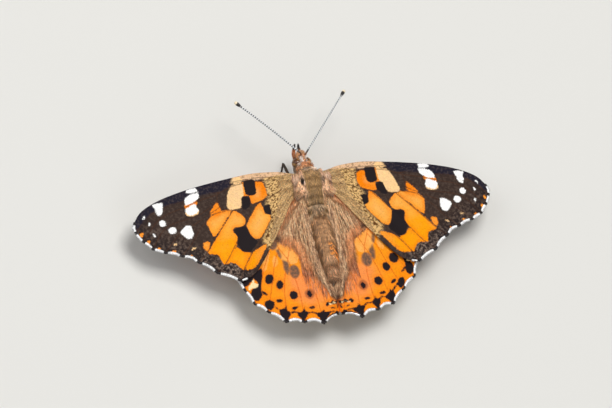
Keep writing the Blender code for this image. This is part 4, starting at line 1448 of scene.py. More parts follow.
@dataclass(frozen=True)
class HairPlan:
    """One patch of long soft wing hair: where it grows on the right side, and how it looks."""

    name: str
    count: int
    zone: tuple[Point, ...]
    source: Point
    length: tuple[float, float]
    tints: tuple[Colour, Colour, Colour]
    pull: Point
    spread: float = 1.0
    rise: float = 0.14
    contrast: float = 1.0
    edge: Optional[Colour] = None
    width: float = 0.07
    dusk: Colour = rgb(72, 54, 48)

    def tint(self, wing: Wing, flat: Array, depth: Array, aim: Array,
             rng: np.random.Generator) -> Array:
        """Colour the hair in fine streaks.

        Args:
            wing: The wing that it grows on.
            flat: Where it grows, as rows of (x, y).
            depth: How far inside the zone that is.
            aim: Which way it lies.
            rng: The seeded generator.

        Returns:
            One colour for each hair.
        """
        away = flat - np.array(self.source)
        bearing = np.arctan2(away[:, 0], -away[:, 1])
        wave = streaks(bearing * 10.0, np.hypot(*away.T), 3 + wing.side.value)
        wave = wave * 1.5 * self.contrast + rng.normal(0, 1.1, len(flat))
        first, middle, last = (np.array(t) for t in self.tints)
        share = ramp(wave, -2.2, 2.2)[:, None]
        tint = np.where(share < 0.5, first + (middle - first) * share * 2,
                        middle + (last - middle) * (share * 2 - 1))
        if self.edge:
            outward = ramp(1.7 - depth, 0.0, 1.7) * ramp(flat[:, 0], 2.4, 3.6)
            tint = blend(tint, self.edge, outward * 0.7)
        if wing.border:
            dark = ramp(field_of(flat + aim * 0.6, wing.marks, Tone.GREY), -0.3, 0.3)
            tint = blend(tint, self.dusk, dark * 0.75)
        tint = tint * np.exp(rng.normal(0, 0.2, (len(flat), 1)))
        tint[:, 3] = 1
        return tint

    def grow(self, wing: Wing, hair: Material) -> None:
        """Grow the patch on one wing.

        Args:
            wing: The wing.
            hair: The hair's material.
        """
        rng = np.random.default_rng(self.count + wing.side.value)
        loop = rounded_loop(list(self.zone), 0.5)
        low, high = loop.min(axis=0), loop.max(axis=0)
        flat = low + (high - low) * rng.random((self.count * 4, 2))
        depth = signed_distance(flat, loop)
        inside = within(flat, wing.ring[:-1])
        kept = (depth > rng.uniform(-0.9, 0.5, len(depth))) & inside
        flat, depth = flat[kept][:self.count], depth[kept][:self.count]
        count = len(flat)
        away = flat - np.array(self.source)
        aim = self.spread * away / np.linalg.norm(away, axis=1)[:, None] + np.array(self.pull)
        aim /= np.linalg.norm(aim, axis=1)[:, None]
        aim += rng.normal(0, 0.06, aim.shape)
        tint = self.tint(wing, flat, depth, aim, rng)
        along = np.stack([aim[:, 0] * wing.side.value,
                          aim[:, 1] + wing.side.value * wing.sweep * aim[:, 0],
                          -wing.slope * aim[:, 0]], axis=1)
        tufts = Tufts(wing.place_on(flat, wing.skin_height(flat)), along,
                      np.tile((0.0, 0.0, 1.0), (count, 1)), rng.uniform(*self.length, count),
                      np.full(count, self.width), tint, wing.map_places(flat),
                      rise=self.rise, fall=self.rise * 0.9, sink=0.02, point=0.3)
        settle(tufts.build(self.name + "_" + wing.side.label), hair)


GOLDEN = (rgb(118, 76, 40), rgb(228, 180, 116), rgb(250, 218, 160))
PINKISH = (rgb(156, 104, 76), rgb(234, 182, 144), rgb(252, 224, 194))
BROWN = (rgb(104, 60, 38), rgb(232, 168, 116), rgb(254, 224, 176))
GREYISH = (rgb(112, 76, 52), rgb(208, 154, 110), rgb(248, 212, 168))
ORANGE_BROWN = (rgb(170, 92, 48), rgb(214, 128, 80), rgb(242, 178, 132))
FORE_HAIR = [
    HairPlan("hair_forewing", 6500, ((1.8, 0.9), (4.0, 0.8), (5.0, 0.2), (5.4, -2.5),
                                     (6.2, -4.6), (7.8, -7.8), (9.2, -10.4), (7.6, -8.6),
                                     (5.0, -5.2), (3.4, -3.2), (1.9, -1.9)), (0.5, 0.8),
             (0.25, 0.5), GOLDEN, (0.0, -0.3), rise=0.12, contrast=0.4),
    HairPlan("hair_shoulder", 3000, ((1.8, 1.0), (2.6, 0.9), (3.1, 0.1), (3.3, -1.4),
                                     (3.2, -3.0), (2.4, -2.6), (1.8, -1.6)), (2.0, 2.0),
             (0.9, 1.7), PINKISH, (0.12, -1.0), 0.3, 0.3),
]
HIND_HAIR = [
    HairPlan("hair_hindwing", 12500, ((1.6, -2.4), (4.5, -3.2), (7.6, -7.0), (8.2, -8.4),
                                      (6.6, -9.6), (4.9, -10.8), (4.3, -12.8), (3.9, -14.4),
                                      (2.5, -16.0), (1.5, -17.6), (0.8, -19.0), (1.4, -16.0),
                                      (1.8, -12.0), (1.6, -6.0)), (2.2, 3.0), (0.8, 1.7),
             BROWN, (0.0, -0.5), rise=0.1, edge=rgb(240, 152, 88)),
    HairPlan("hair_fold", 8500, ((1.5, -5.0), (2.6, -5.0), (2.9, -9.0), (2.8, -13.0),
                                 (2.2, -16.2), (1.2, -18.4), (0.6, -20.2), (0.2, -20.4),
                                 (0.2, -18.6), (0.8, -17.0), (1.5, -14.0), (1.8, -10.0)),
             (2.2, 4.0), (1.3, 2.2), GREYISH, (-0.2, -1.0), 0.2, 0.26),
    HairPlan("hair_strands", 260, ((3.9, -14.6), (5.0, -15.4), (4.8, -17.0), (3.0, -19.4),
                                   (1.6, -21.0), (1.6, -19.6), (2.8, -17.2)), (2.2, 3.0),
             (1.0, 2.0), ORANGE_BROWN, (0.0, -0.5), 1.0, 0.06),
]


# Body

HEAD = [(5.35, 0.5, -1.75, -2.75), (5.1, 0.78, -1.4, -3.0), (4.75, 0.7, -1.15, -3.15),
        (3.9, 0.64, -0.95, -3.2), (3.1, 0.64, -1.05, -3.0), (2.78, 0.6, -1.25, -2.8)]
THORAX = [(2.48, 0.9, -0.75, -2.9), (2.1, 1.35, -0.15, -3.4), (1.2, 1.95, 0.7, -4.0),
          (-0.2, 2.2, 1.15, -4.4), (-1.8, 2.4, 1.2, -4.5), (-3.4, 2.2, 0.95, -4.2),
          (-4.6, 1.8, 0.5, -3.6), (-5.4, 1.3, 0.0, -2.9)]
ABDOMEN = [(-5.3, 1.2, -0.45, -2.75), (-6.2, 1.55, -0.1, -3.2), (-9, 1.75, 0.05, -3.4),
           (-12, 1.7, 0.1, -3.2), (-14.5, 1.45, 0.0, -2.75), (-16.6, 1.05, -0.25, -2.15),
           (-17.9, 0.45, -0.6, -1.45)]


@dataclass
class Form:
    """One length of the body, as sections from front to back."""

    stations: list[Point]
    coat: float
    grooves: int = 0
    power: float = 2.3
    groove_depth: float = 0.06

    def object(self) -> Object:
        """Shape a sphere's rings into the form, the coat's depth inside the solid."""
        around, rings = 48, 64
        item = ball((0, 0, 0), (1, 1, 1), around, rings)
        co = coordinates(item.data)
        latitude = np.arccos(np.clip(co[:, 2], -1, 1)) / math.pi
        table = np.array(self.stations, float)
        front, back = table[0, 0] - self.coat, table[-1, 0] + self.coat
        y = front + (back - front) * latitude
        order = table[::-1]
        half, top, bottom = (np.interp(y, order[:, 0], order[:, i]) for i in (1, 2, 3))
        angle = np.arctan2(co[:, 1], co[:, 0])
        power = 2 / self.power
        cap = np.clip(np.sin(latitude * math.pi) * 4.5, 0, 1) ** 0.6
        waist = cap
        if self.grooves:
            wave = np.abs(np.sin(math.pi * self.grooves * latitude))
            waist = cap * (1 - self.groove_depth * (1 - wave) ** 2)
        x = np.sign(np.cos(angle)) * np.abs(np.cos(angle)) ** power
        z = np.sign(np.sin(angle)) * np.abs(np.sin(angle)) ** power
        deep = (top - bottom) / 2 - self.coat
        out = np.stack([x * (half - self.coat) * waist, y,
                        (top + bottom) / 2 + z * deep * waist], axis=1)
        item.data.vertices.foreach_set("co", out.astype(np.float32).ravel())
        item.data.update()
        return item


def body_tint(p: Array) -> Array:
    """Return the body's colours that skin and coat share: its markings, with painted shade beside the
    thorax, a painted highlight behind the collar and painted light on the abdomen's flanks.

    Args:
        p: Rows of (x, y, z).

    Returns:
        One linear colour for each row.
    """
    x, y, z = p[:, 0], p[:, 1], p[:, 2]
    side = np.abs(x)
    ripple = np.sin(y * 12 + 0.7 * np.sin(x * 2.6)) * 0.5 + 0.5
    shade = ramp(0.62 - np.hypot((side - 1.95) * 1.7, (y + 1.0) * 0.85), 0, 0.2)
    grey = ramp(-y, 5.3, 5.8) * ramp(y, -7.2, -6.8)
    ring = np.abs(np.sin(math.pi * 7 * (-y - 5.3) / 12.6))
    patchy = 0.5 + 0.5 * np.sin(x * 2.9 + y * 1.7)
    tail = ramp(x, -0.1, 0.4) * ramp(-y, 11.6, 12.8) * ramp(z, -1.4, -0.6) * ramp(y, -16.2, -15.4)
    fine = np.abs(np.sin(y * 3.4 + 0.4 * np.sin(x * 5)))
    wedge = np.sin(side * 5.5 + y * 7.0)
    near_eye = ramp(side, 0.5, 0.7) * ramp(y, 2.5, 2.75) * ramp(4.3 - y, 0, 0.4)
    layers = [
        ((170, 132, 84), ramp(1.8 - side + 0.1 * np.minimum(0, y + 1.5), 0, 0.6)
         * ramp(-y, -1.2, 0.4)),
        ((112, 84, 54), ripple * ramp(-y, 2.2, 3.4) * ramp(y, -5.8, -5.0) * 0.5),
        ((242, 196, 152), ramp(side, 1.6, 2.1) * ramp(y, -5.2, -1.6)),
        ((240, 196, 160), ramp(0.42 - np.abs(side - 1.95 - 0.1 * y), 0, 0.3)
         * ramp(y, -4.6, -1.6)),
        # Pale spot behind the collar on the right: partly pale hair, partly a painted highlight where the
        # light catches the thorax.
        ((246, 218, 194), ramp(0.9 - np.hypot(x - 0.7, y - 1.5), 0, 0.5)),
        ((186, 158, 132), ramp(0.7 - np.hypot(x + 0.5, y - 1.3), 0, 0.5)),
        ((210, 148, 104), ramp(side, 0.9, 1.3) * ramp(y, 0.3, 1.2) * (x < 0)),
        ((40, 28, 24), shade * np.where(x < 0, 1.0, 0.6)),
        ((244, 214, 190), ramp(0.16 - np.abs(x + 1.62), 0, 0.08)
         * ramp(0.35 - np.abs(y + 1.35), 0, 0.2)),
        ((222, 186, 146), grey),
        ((140, 118, 98), grey * ramp(np.sin(y * 15), 0.1, 0.7) * ramp(1.2 - side, 0, 0.5) * 0.7),
        ((176, 130, 88), ramp(-y, 6.9, 7.4)),
        ((206, 158, 112), ramp(-y, 7.4, 9.0) * ramp(x, -0.2, 0.6) * 0.5),
        ((120, 88, 58), ramp(np.sin(x * 7.1 + 2 * np.sin(y * 5.3)), 0.4, 1.0)
         * ramp(-y, 7.4, 9.0) * ramp(y, -14.5, -13.0) * 0.45),
        # Painted light: the abdomen's flanks are lightened to offset the shade that the tufts cast between
        # the abdomen and the wings.
        ((238, 190, 140), ramp(side, 0.95, 1.5) * ramp(-y, 7.0, 9.0)),
        ((116, 80, 50), (1 - ring) ** 2 * ramp(-y, 6.4, 7.4) * 0.5 * patchy),
        ((216, 168, 126), ramp(-y, 15.0, 16.4)),
        ((238, 144, 52), tail * ramp(fine, 0.4, 0.8) * 0.85),
        ((62, 38, 24), tail * (1 - ramp(fine, 0.1, 0.5)) * 0.95),
        ((236, 178, 130), ramp(y, 1.7, 2.3)),
        ((214, 140, 84), ramp(0.3 - np.abs(y - 2.6), 0, 0.2) * ramp(x, 0.1, 0.6)),
        ((250, 190, 134), ramp(y, 4.0, 4.8)),
        ((150, 96, 60), ramp(np.sin(x * 9 + y * 5), 0.5, 1.0) * ramp(y, 3.6, 4.4) * 0.6),
        ((222, 196, 168), ramp(-z, 2.3, 3.1) * (y < 2.4)),
        ((230, 208, 184), ramp(-z, 2.4, 3.0) * (y > 2.4)),
        ((34, 26, 26), near_eye * ramp(wedge, -0.4, 0.2)),
        ((250, 246, 240), near_eye * ramp(-wedge, 0.5, 0.9)),
        ((248, 244, 240), ramp(0.17 - np.abs(side - 0.5), 0, 0.07) * ramp(y, 3.3, 3.5)
         * ramp(4.3 - y, 0, 0.4) * ramp(z, -2.0, -1.7)),
        ((248, 244, 240), ramp(0.3 - np.abs(y - 2.95), 0, 0.15) * ramp(side, 0.5, 0.7)
         * ramp(-z, 1.7, 1.9)),
        ((36, 26, 24), ramp(0.12 - np.abs(side - 0.72), 0, 0.05) * ramp(y, 3.0, 3.4)
         * ramp(4.6 - y, 0.0, 0.3) * ramp(z, -2.0, -1.7)),
    ]
    out = np.tile(np.array(rgb(206, 168, 120)), (len(p), 1))
    for colour, share in layers:
        out = blend(out, rgb(*colour), share)
    return out


def body_flow(p: Array, spread: float = 0.18) -> Array:
    """Return the way that the body's hair lies at each place."""
    x, y = p[:, 0], p[:, 1]
    back = np.stack([spread * np.sign(x) * np.minimum(np.abs(x), 2.2), -np.ones(len(p)),
                     np.full(len(p), -0.05)], axis=1)
    head = y > 2.6
    ahead = ramp(y[head], 2.9, 4.8)
    back[head] = np.stack([(0.07 + spread) * x[head], 1.6 * ahead - 0.7,
                           0.5 - 0.8 * np.abs(ahead - 0.45)], axis=1)
    return back


@dataclass(frozen=True)
class Coat:
    """One length of the body's coat of hair.

    Attributes:
        low: The rearmost Y of a root, and high the foremost.
        length: Shortest and longest tuft.
        width: How wide a tuft is at its root.
        rise: How steeply the tufts stand up, and fall how far they bend back.
        edge: The least distance of a root from the middle plane.
        least: The lowest Z of a root.
        spread: How far the tufts lean outwards.
        dim: How much darker a tuft is at its root.
    """

    name: str
    count: int
    low: float
    high: float
    length: tuple[float, float]
    width: float
    rise: float
    fall: float
    edge: float = 0.0
    least: float = -9.0
    spread: float = 0.18
    dim: float = 0.28


COATS = [
    Coat("hair_head", 7000, 2.7, 6.0, (0.35, 0.75), 0.06, 0.6, 0.3),
    Coat("hair_crown", 2800, 3.0, 5.2, (0.6, 1.0), 0.05, 0.7, 0.35, least=-1.6, spread=0.4),
    Coat("hair_frons", 2400, 4.4, 6.0, (0.6, 1.1), 0.05, 0.2, 0.3, least=-3.1, spread=0.3),
    Coat("hair_collar", 6000, 1.2, 3.1, (0.5, 1.0), 0.065, 0.5, 0.34),
    Coat("hair_thorax", 15000, -5.2, 1.7, (0.5, 1.0), 0.065, 0.3, 0.28),
    Coat("hair_waist", 5000, -7.0, -4.2, (0.8, 1.5), 0.065, 0.4, 0.26),
    Coat("hair_abdomen", 15000, -18.2, -6.6, (0.35, 0.8), 0.065, 0.26, 0.24),
    Coat("hair_side", 3500, -4.2, -1.5, (1.2, 2.1), 0.06, 0.14, 0.2, edge=1.5, least=-1.0,
         spread=0.45),
    Coat("hair_flank", 10500, -16.8, -4.6, (1.2, 2.3), 0.065, 0.2, 0.14, edge=0.8, least=-1.4,
         spread=0.75, dim=0.0),
    Coat("hair_tail", 6500, -18.3, -14.2, (1.4, 3.0), 0.065, 0.12, 0.1, least=-1.6, spread=0.12,
         dim=0.1),
]

# Centre and radii of the swellings that join the three forms: neck, waist, and on each
# side the tegula and the two wing roots
MIDDLE_LUMPS = [((0, 2.35, -1.6), (1.3, 1.0, 1.0)), ((0, -5.4, -1.3), (1.45, 1.4, 1.35))]
SIDE_LUMPS = [((1.72, -0.3, 0.35), (0.5, 1.5, 0.5)), ((2.2, -1.3, 0.0), (0.8, 1.7, 0.5)),
              ((1.75, -3.2, -1.2), (0.6, 1.5, 0.5))]


@dataclass
class Body:
    """Head, thorax and abdomen under one skin, with their coats of hair."""

    seed: int = 11
    voxel: float = 0.1
    axis: float = -1.7
    rear: float = -18.0
    length: float = 23.6

    def skin(self) -> Object:
        """Build one skin over head, thorax, tegulae and abdomen.

        Returns:
            The skin, still in millimetres.
        """
        forms = [Form(HEAD, 0.16).object(), Form(THORAX, 0.24).object(),
                 Form(ABDOMEN, 0.1, grooves=7, groove_depth=0.035).object()]
        lumps = MIDDLE_LUMPS + [((side.value * x, y, z), radii) for side in Side
                                for (x, y, z), radii in SIDE_LUMPS]
        forms += [ball(centre, radii, 24, 16) for centre, radii in lumps]
        item = joined("body_skin", forms)
        remesh = item.modifiers.new("fuse", "REMESH")
        remesh.mode = "VOXEL"
        remesh.voxel_size = self.voxel
        bpy.ops.object.modifier_apply(modifier=remesh.name)
        smooth = item.modifiers.new("soften", "SMOOTH")
        smooth.factor = 0.5
        smooth.iterations = 6
        bpy.ops.object.modifier_apply(modifier=smooth.name)
        bpy.ops.object.shade_smooth()
        add_colours(item.data, body_tint(coordinates(item.data)))
        return item

    def roots(self, skin: Object, coat: Coat,
              rng: np.random.Generator) -> tuple[Array, Array]:
        """Scatter hair roots over a length of the skin.

        Args:
            skin: The skin in millimetres.
            coat: The coat that grows there.
            rng: The seeded generator.

        Returns:
            The places and the normals there.
        """
        mesh = skin.data
        mesh.calc_loop_triangles()
        tri = np.empty(len(mesh.loop_triangles) * 3, np.int32)
        mesh.loop_triangles.foreach_get("vertices", tri)
        tri = tri.reshape(-1, 3)
        co, no = coordinates(mesh), normals(mesh)
        a, b, c = co[tri[:, 0]], co[tri[:, 1]], co[tri[:, 2]]
        area = np.linalg.norm(np.cross(b - a, c - a), axis=1)
        x, y, z = ((a + b + c) / 3).T
        grows = (y > coat.low) & (y < coat.high) & (np.abs(x) >= coat.edge) & (z > coat.least)
        area = np.where(grows, area, 0)
        pick = rng.choice(len(tri), coat.count, p=area / area.sum())
        u, v = rng.random(coat.count), rng.random(coat.count)
        over = u + v > 1
        u, v = np.where(over, 1 - u, u), np.where(over, 1 - v, v)
        w = 1 - u - v
        mixed = [sum(part[tri[pick, i]] * k[:, None] for i, k in enumerate((w, u, v)))
                 for part in (co, no)]
        return mixed[0], mixed[1] / np.linalg.norm(mixed[1], axis=1)[:, None]

    def grow(self, skin: Object, coat: Coat, hair: Material) -> None:
        """Grow one length of the coat.

        Args:
            skin: The skin in millimetres.
            coat: The coat.
            hair: Its material.
        """
        rng = np.random.default_rng(self.seed + coat.count)
        root, up = self.roots(skin, coat, rng)
        along = body_flow(root, coat.spread) + rng.normal(0, 0.14, (coat.count, 3))
        tip = root + along * float(np.mean(coat.length)) * 0.6
        bearing = np.arctan2(root[:, 0], root[:, 2] - self.axis)
        bright = 0.16 * streaks(bearing * 1.9, root[:, 1], 5) + rng.normal(0, 0.48, coat.count)
        tint = body_tint(root if coat.edge else tip) * np.exp(bright)[:, None]
        tint[:, 3] = 1.0
        places = np.stack([bearing / math.tau + 0.5, (root[:, 1] - self.rear) / self.length],
                          axis=1) * 0.98
        tufts = Tufts(root, along, up, rng.uniform(*coat.length, coat.count),
                      np.full(coat.count, coat.width), tint, places, rise=coat.rise,
                      fall=coat.fall, dim=coat.dim)
        settle(tufts.build(coat.name), hair)

    def build(self, skin_finish: Material, hair: Material) -> None:
        """Build the skin and all its coats.

        Args:
            skin_finish: The skin's material.
            hair: The hair's material.
        """
        skin = self.skin()
        for coat in COATS:
            self.grow(skin, coat, hair)
        settle(skin, skin_finish, ("head", "thorax", "abdomen"))


@dataclass
class Feeler:
    """One antenna: a ringed shaft and a dark club with a pale tip."""

    side: Side
    start: Point = (0.36, 4.45, -0.9)
    bend: Point = (0.5, 4.62, -0.42)
    tip: Point = (10.1, 15.25, -0.2)
    shaft: float = 0.155
    club: float = 0.31
    club_length: float = 1.55
    ring: float = 0.42

    def build(self, finish: Material) -> None:
        """Build the antenna."""
        bend, tip = np.array(self.bend), np.array(self.tip)
        length = float(np.linalg.norm(tip - bend))
        count = int(length / (self.ring / 4))
        share = np.linspace(0, 1, count)
        route = bend + (tip - bend) * share[:, None]
        route[:, 2] += 0.25 * np.sin(share * math.pi)
        reach = share * length
        phase = np.abs(np.sin(reach / self.ring * math.pi)) ** 0.5
        radii = self.shaft * (0.86 + 0.14 * phase)
        swell = ramp(reach, length - self.club_length, length - self.club_length * 0.45)
        radii = radii + (self.club - self.shaft) * swell
        end = np.clip((length - reach) / 0.35, 0, 1)
        radii = radii * np.sqrt(1 - (1 - end) ** 2 + 1e-3)
        scape = np.array(self.start) + (bend - np.array(self.start)) * np.linspace(0, 1, 5)[:, None]
        route = np.vstack([scape[:-1], route])
        radii = np.concatenate([[0.16, 0.21, 0.2, 0.15], radii])
        route[:, 0] *= self.side.value
        name = "antenna_" + self.side.label
        settle(link(name, tube_mesh(name, route, radii)), finish, (name,))


# How far along a leg its dark claws, spurs and bristles count, and how many bristles it has
DARK_FROM = 20.0
BRISTLES = 18
# A claw's points: ahead of the toe, aside and up
CLAW = [(0.0, 0.04, 0.0), (0.14, 0.12, 0.02), (0.26, 0.17, -0.04), (0.3, 0.18, -0.115)]


@dataclass
class Leg:
    """One leg: scaled femur and tibia, spurs, a jointed tarsus and claws."""

    name: str
    coxa: Point
    knee: Point
    ankle: Point
    toe: Point
    femur_radius: float = 0.26
    tibia_radius: float = 0.17
    tarsus_radius: float = 0.125
    heel_step: float = 0.9

    def build(self, finish: Material) -> None:
        """Build the leg in one mesh."""
        hip, knee, ankle, toe = (np.array(p, float) for p in (self.coxa, self.knee, self.ankle,
                                                              self.toe))
        heel = ankle + (toe - ankle) * self.heel_step / np.linalg.norm(toe - ankle)
        heel[2] = toe[2] = FLOOR + self.tarsus_radius
        top = hip + np.array((0, 0, 1.1))
        elbow = hip + (knee - hip) * 0.16 - np.array((0, 0, 0.45))
        route, radii = [], []

        def bone(start: Array, end: Array, sizes: list[float], step: float) -> None:
            """Lay one bone's samples."""
            count = max(3, int(np.linalg.norm(end - start) / step))
            for t in np.linspace(0.02, 0.98, count):
                route.append(start + (end - start) * t)
                radii.append(float(np.interp(t, np.linspace(0, 1, len(sizes)), sizes)))

        bone(top, elbow, [0.4, 0.42, 0.3], 0.2)
        bone(elbow, knee, [0.2, self.femur_radius, self.femur_radius, 0.19], 0.2)
        bone(knee, ankle, [0.15, self.tibia_radius, self.tibia_radius, 0.13], 0.2)
        bone(ankle, heel, [0.12, self.tarsus_radius, 0.11], 0.1)
        size = self.tarsus_radius
        for part in range(4):
            start = heel + (toe - heel) * part / 4
            end = heel + (toe - heel) * (part + 1) / 4
            bone(start, end, [size * 0.7, size * 0.9, size], 0.09)
        parts = [tube_mesh(self.name, np.array(route), np.array(radii))]
        forward = (toe - heel) / np.linalg.norm(toe - heel)
        across = np.cross(forward, (0, 0, 1))
        for turn in (-1, 1):
            claw = smooth_line([toe + forward * reach + across * turn * aside + (0, 0, rise)
                                for reach, aside, rise in CLAW], 0.05)
            spur = ankle + forward * 0.35 + across * turn * 0.22 - (0, 0, 0.25)
            parts.append(tube_mesh(self.name, claw, np.linspace(0.05, 0.01, len(claw)), 6,
                                   DARK_FROM))
            parts.append(tube_mesh(self.name, np.linspace(ankle, spur, 5),
                                   np.linspace(0.045, 0.01, 5), 6, DARK_FROM))
        rng = np.random.default_rng(len(self.name))
        shin = ankle - knee
        for t in 0.12 + 0.8 * np.arange(BRISTLES) / BRISTLES:
            root = knee + shin * t
            out = rng.normal(0, 1, 3)
            out -= shin * (out @ shin) / (shin @ shin)
            out /= np.linalg.norm(out)
            tip = root + out * 0.34 + shin / np.linalg.norm(shin) * 0.22
            parts.append(tube_mesh(self.name, np.linspace(root, tip, 4),
                                   np.linspace(0.03, 0.006, 4), 5, DARK_FROM))
        settle(merged(self.name, parts), finish, (self.name,))


LEGS = {
    "midleg_left": [(-1.3, 0.5, -4.5), (-3.1, 4.2, -3.0), (-2.8, 2.6, -7.1), (-6.4, 3.9, FLOOR)],
    "midleg_right": [(1.3, 0.5, -4.5), (4.4, 1.7, -3.7), (5.2, 0.7, -7.3), (8.8, -0.5, FLOOR)],
    "hindleg_left": [(-1.4, -2.2, -4.6), (-4.5, -5.5, -3.9), (-6.3, -9.2, -7.2),
                     (-8.2, -12.9, FLOOR)],
    "hindleg_right": [(1.4, -2.2, -4.6), (4.5, -5.5, -3.9), (6.3, -9.2, -7.2),
                      (8.2, -12.9, FLOOR)],
}


@dataclass
class Mouthparts:
    """The two palps and the coiled tongue."""

    palp: tuple[Point, ...] = ((0.52, 4.85, -3.66), (0.56, 5.6, -3.64), (0.48, 6.3, -3.35),
                               (0.38, 6.9, -2.95))
    palp_radii: tuple[float, ...] = (0.24, 0.28, 0.2, 0.06)
    coil_centre: Point = (3.6, -4.42)
    turns: float = 1.4
    pitch: float = 0.52
    inner: float = 0.12
    tube: float = 0.11

    def build(self, hair: Material, horn: Material) -> None:
        """Build them."""
        for side in Side:
            route = smooth_line(list(self.palp), 0.08)
            route = np.vstack([[(0.45, 4.3, -3.05), (0.5, 4.6, -3.4)], route])
            radii = np.interp(np.linspace(0, 1, len(route)), np.linspace(0, 1, 4),
                              self.palp_radii)
            route[:, 0] *= side.value
            name = "palp_" + side.label
            mesh = tube_mesh(name, route, radii)
            co = coordinates(mesh)
            tint = np.tile(np.array(rgb(150, 92, 56)), (len(co), 1))
            tint = blend(tint, rgb(50, 42, 42), ramp(co[:, 1], 6.0, 6.5))
            tint = blend(tint, rgb(206, 196, 184), ramp(-co[:, 2], 3.6, 3.8))
            add_colours(mesh, tint)
            settle(link(name, mesh), hair, (name,))
            tints = np.tile(np.array(rgb(206, 130, 78)), (len(route), 1))
            tints = blend(tints, rgb(44, 38, 38), ramp(route[:, 1], 5.9, 6.3))
            settle(brush("hair_" + name, route, radii, tints, 1300, (0.35, 0.8), 0.045),
                   hair)
        count = 150
        turn = self.turns * np.arange(count) / (count - 1)
        radius = self.inner + self.pitch * turn
        angle = 2 * math.pi * (turn - self.turns) + math.radians(60)
        route = np.stack([np.zeros(count), self.coil_centre[0] + radius * np.cos(angle),
                          self.coil_centre[1] + radius * np.sin(angle)], axis=1)
        ridge = self.tube * (0.92 + 0.08 * np.abs(np.sin(np.arange(count) * 0.9)))
        item = link("proboscis", tube_mesh("proboscis", route, ridge))
        settle(item, horn, ("proboscis",))


@dataclass
class ForeLeg:
    """One of the two small brush-like forelegs, folded under the thorax."""

    side: Side
    points: tuple[Point, ...] = ((0.72, 1.4, -4.1), (0.8, 2.7, -4.25), (0.75, 3.9, -4.35))
    radii: tuple[float, ...] = (0.26, 0.25, 0.09)
    colour: Colour = rgb(206, 182, 154)

    def build(self, hair: Material) -> None:
        """Build the leg and its hair."""
        route = smooth_line(list(self.points), 0.1)
        route[:, 0] *= self.side.value
        radii = np.interp(np.linspace(0, 1, len(route)), (0, 0.6, 1), self.radii)
        name = "foreleg_" + self.side.label
        mesh = tube_mesh(name, route, radii)
        add_colours(mesh, np.tile(np.array(self.colour), (len(mesh.vertices), 1)))
        settle(link(name, mesh), hair, (name,))
        tints = np.tile(np.array(self.colour), (len(route), 1))
        settle(brush("hair_" + name, route, radii, tints, 700, (0.35, 0.6)), hair)


@dataclass
class Eyes:
    """The two compound eyes."""

    centre: Point = (0.84, 3.68, -2.4)
    radii: Point = (0.92, 0.88, 0.88)

    def build(self, finish: Material) -> None:
        """Build both eyes."""
        for side in Side:
            x, y, z = self.centre
            item = ball((side.value * x, y, z), self.radii, 48, 32)
            item.name = "eye_globe_" + side.label
            bpy.ops.object.shade_smooth()
            settle(item, finish, ("eye_" + side.label,))


# Stage


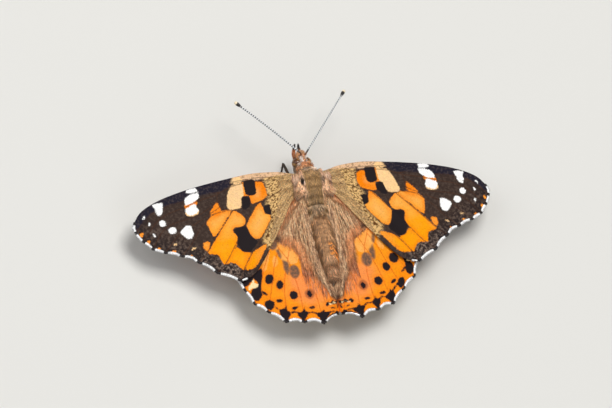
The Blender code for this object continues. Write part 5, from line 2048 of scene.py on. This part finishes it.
@dataclass
class Studio:
    """The pale floor, the soft lights and the camera."""

    towards: Point = (-0.35, -0.35, 0.869)
    roll: float = 6.3
    lens: float = 1000.0
    across: float = 104.4
    aim_right: float = -0.768
    aim_up: float = -4.69

    def camera(self) -> None:
        """Set the camera at the photograph's viewing angle."""
        d = np.array(self.towards) / np.linalg.norm(self.towards)
        ex = np.array((1.0, 0, 0)) - d * d[0]
        ex /= np.linalg.norm(ex)
        ey = np.cross(d, ex)
        a = math.radians(self.roll)
        right = math.cos(a) * ex - math.sin(a) * ey
        up = math.sin(a) * ex + math.cos(a) * ey
        aim = WING_BASE + right * self.aim_right + up * self.aim_up
        distance = self.lens / 36.0 * self.across
        data = bpy.data.cameras.new("camera")
        data.lens = self.lens
        data.sensor_width = 36.0
        data.clip_start = 0.02
        data.clip_end = 20.0
        item = bpy.data.objects.new("camera", data)
        bpy.context.scene.collection.objects.link(item)
        place = (aim + d * distance) * MM
        rows = [(right[i], up[i], d[i], place[i]) for i in range(3)]
        item.matrix_world = Matrix((*rows, (0, 0, 0, 1)))
        bpy.context.scene.camera = item

    def light(self, name: str, place: Point, size: float, power: float,
              colour: Colour = (1.0, 1.0, 1.0, 1.0)) -> None:
        """Hang one square light that looks at the butterfly."""
        data = bpy.data.lights.new(name, "AREA")
        data.shape = "SQUARE"
        data.size = size
        data.energy = power
        data.color = colour[:3]
        item = bpy.data.objects.new(name, data)
        item.location = place
        item.rotation_euler = Vector(place).to_track_quat("Z", "Y").to_euler()
        bpy.context.scene.collection.objects.link(item)

    def build(self) -> None:
        """Set the stage."""
        self.camera()
        self.light("key_light", (0.08, 0.16, 0.85), 0.45, 5.5, (1.0, 0.985, 0.96, 1.0))
        self.light("fill_light", (-0.6, 0.1, 0.5), 0.6, 1.4, (0.95, 0.97, 1.0, 1.0))
        self.light("back_light", (0.1, -0.7, 0.45), 0.6, 1.1)
        world = bpy.data.worlds.new("studio")
        world.use_nodes = True
        sky = world.node_tree.nodes["Background"]
        sky.inputs["Color"].default_value = (0.86, 0.88, 0.9, 1.0)
        sky.inputs["Strength"].default_value = 0.27
        bpy.context.scene.world = world
        bpy.context.scene.view_settings.view_transform = "Standard"
        bpy.ops.object.select_all(action="DESELECT")
        bpy.ops.mesh.primitive_plane_add(size=4.0, location=(0, 0, 0))
        floor = bpy.context.active_object
        floor.name = "floor"
        made = bpy.data.materials.new("pale_floor")
        made.use_nodes = True
        shader = made.node_tree.nodes["Principled BSDF"]
        shader.inputs["Base Color"].default_value = rgb(224, 223, 219)
        shader.inputs["Roughness"].default_value = 0.8
        floor.data.materials.append(made)


def main() -> None:
    """Build the whole butterfly and its stage."""
    logging.basicConfig(level=logging.INFO, format="%(message)s")
    scale_grain_group()
    patch_edge_group()
    fore_finish = WingFinish("forewing_scales", upper=FORE_UPPER, under=FORE_UNDER).material()
    hind_finish = WingFinish("hindwing_scales", upper=HIND_UPPER, under=HIND_UNDER).material()
    hair = ScaledFinish("body_hair").material()
    skin = ScaledFinish("body_skin", rough=(0.6, 0.8)).material()
    feeler = FeelerFinish("ringed_feeler").material()
    limb = LimbFinish("scaled_leg", dark=rgb(30, 23, 21), light=rgb(132, 116, 96),
                      pale=rgb(96, 78, 60)).material()
    horn = LimbFinish("tongue_horn", dark=rgb(96, 58, 30), light=rgb(120, 74, 38),
                      pale=rgb(140, 92, 54)).material()
    for side in Side:
        fore = Wing(side=side, name="forewing_" + side.label, **FORE).build(fore_finish)
        hind = Wing(side=side, name="hindwing_" + side.label, **HIND).build(hind_finish)
        for wing in (fore, hind):
            Fringe(wing).build(hair)
        for wing, plans in ((fore, FORE_HAIR), (hind, HIND_HAIR)):
            for plan in plans:
                plan.grow(wing, hair)
        Feeler(side).build(feeler)
        ForeLeg(side).build(hair)
    Body().build(skin, hair)
    Eyes().build(EyeFinish("eye_facets").material())
    Mouthparts().build(hair, horn)
    for name, joints in LEGS.items():
        Leg(name, *joints).build(limb)
    Studio().build()
    bpy.context.view_layer.update()


if __name__ == "__main__":
    main()
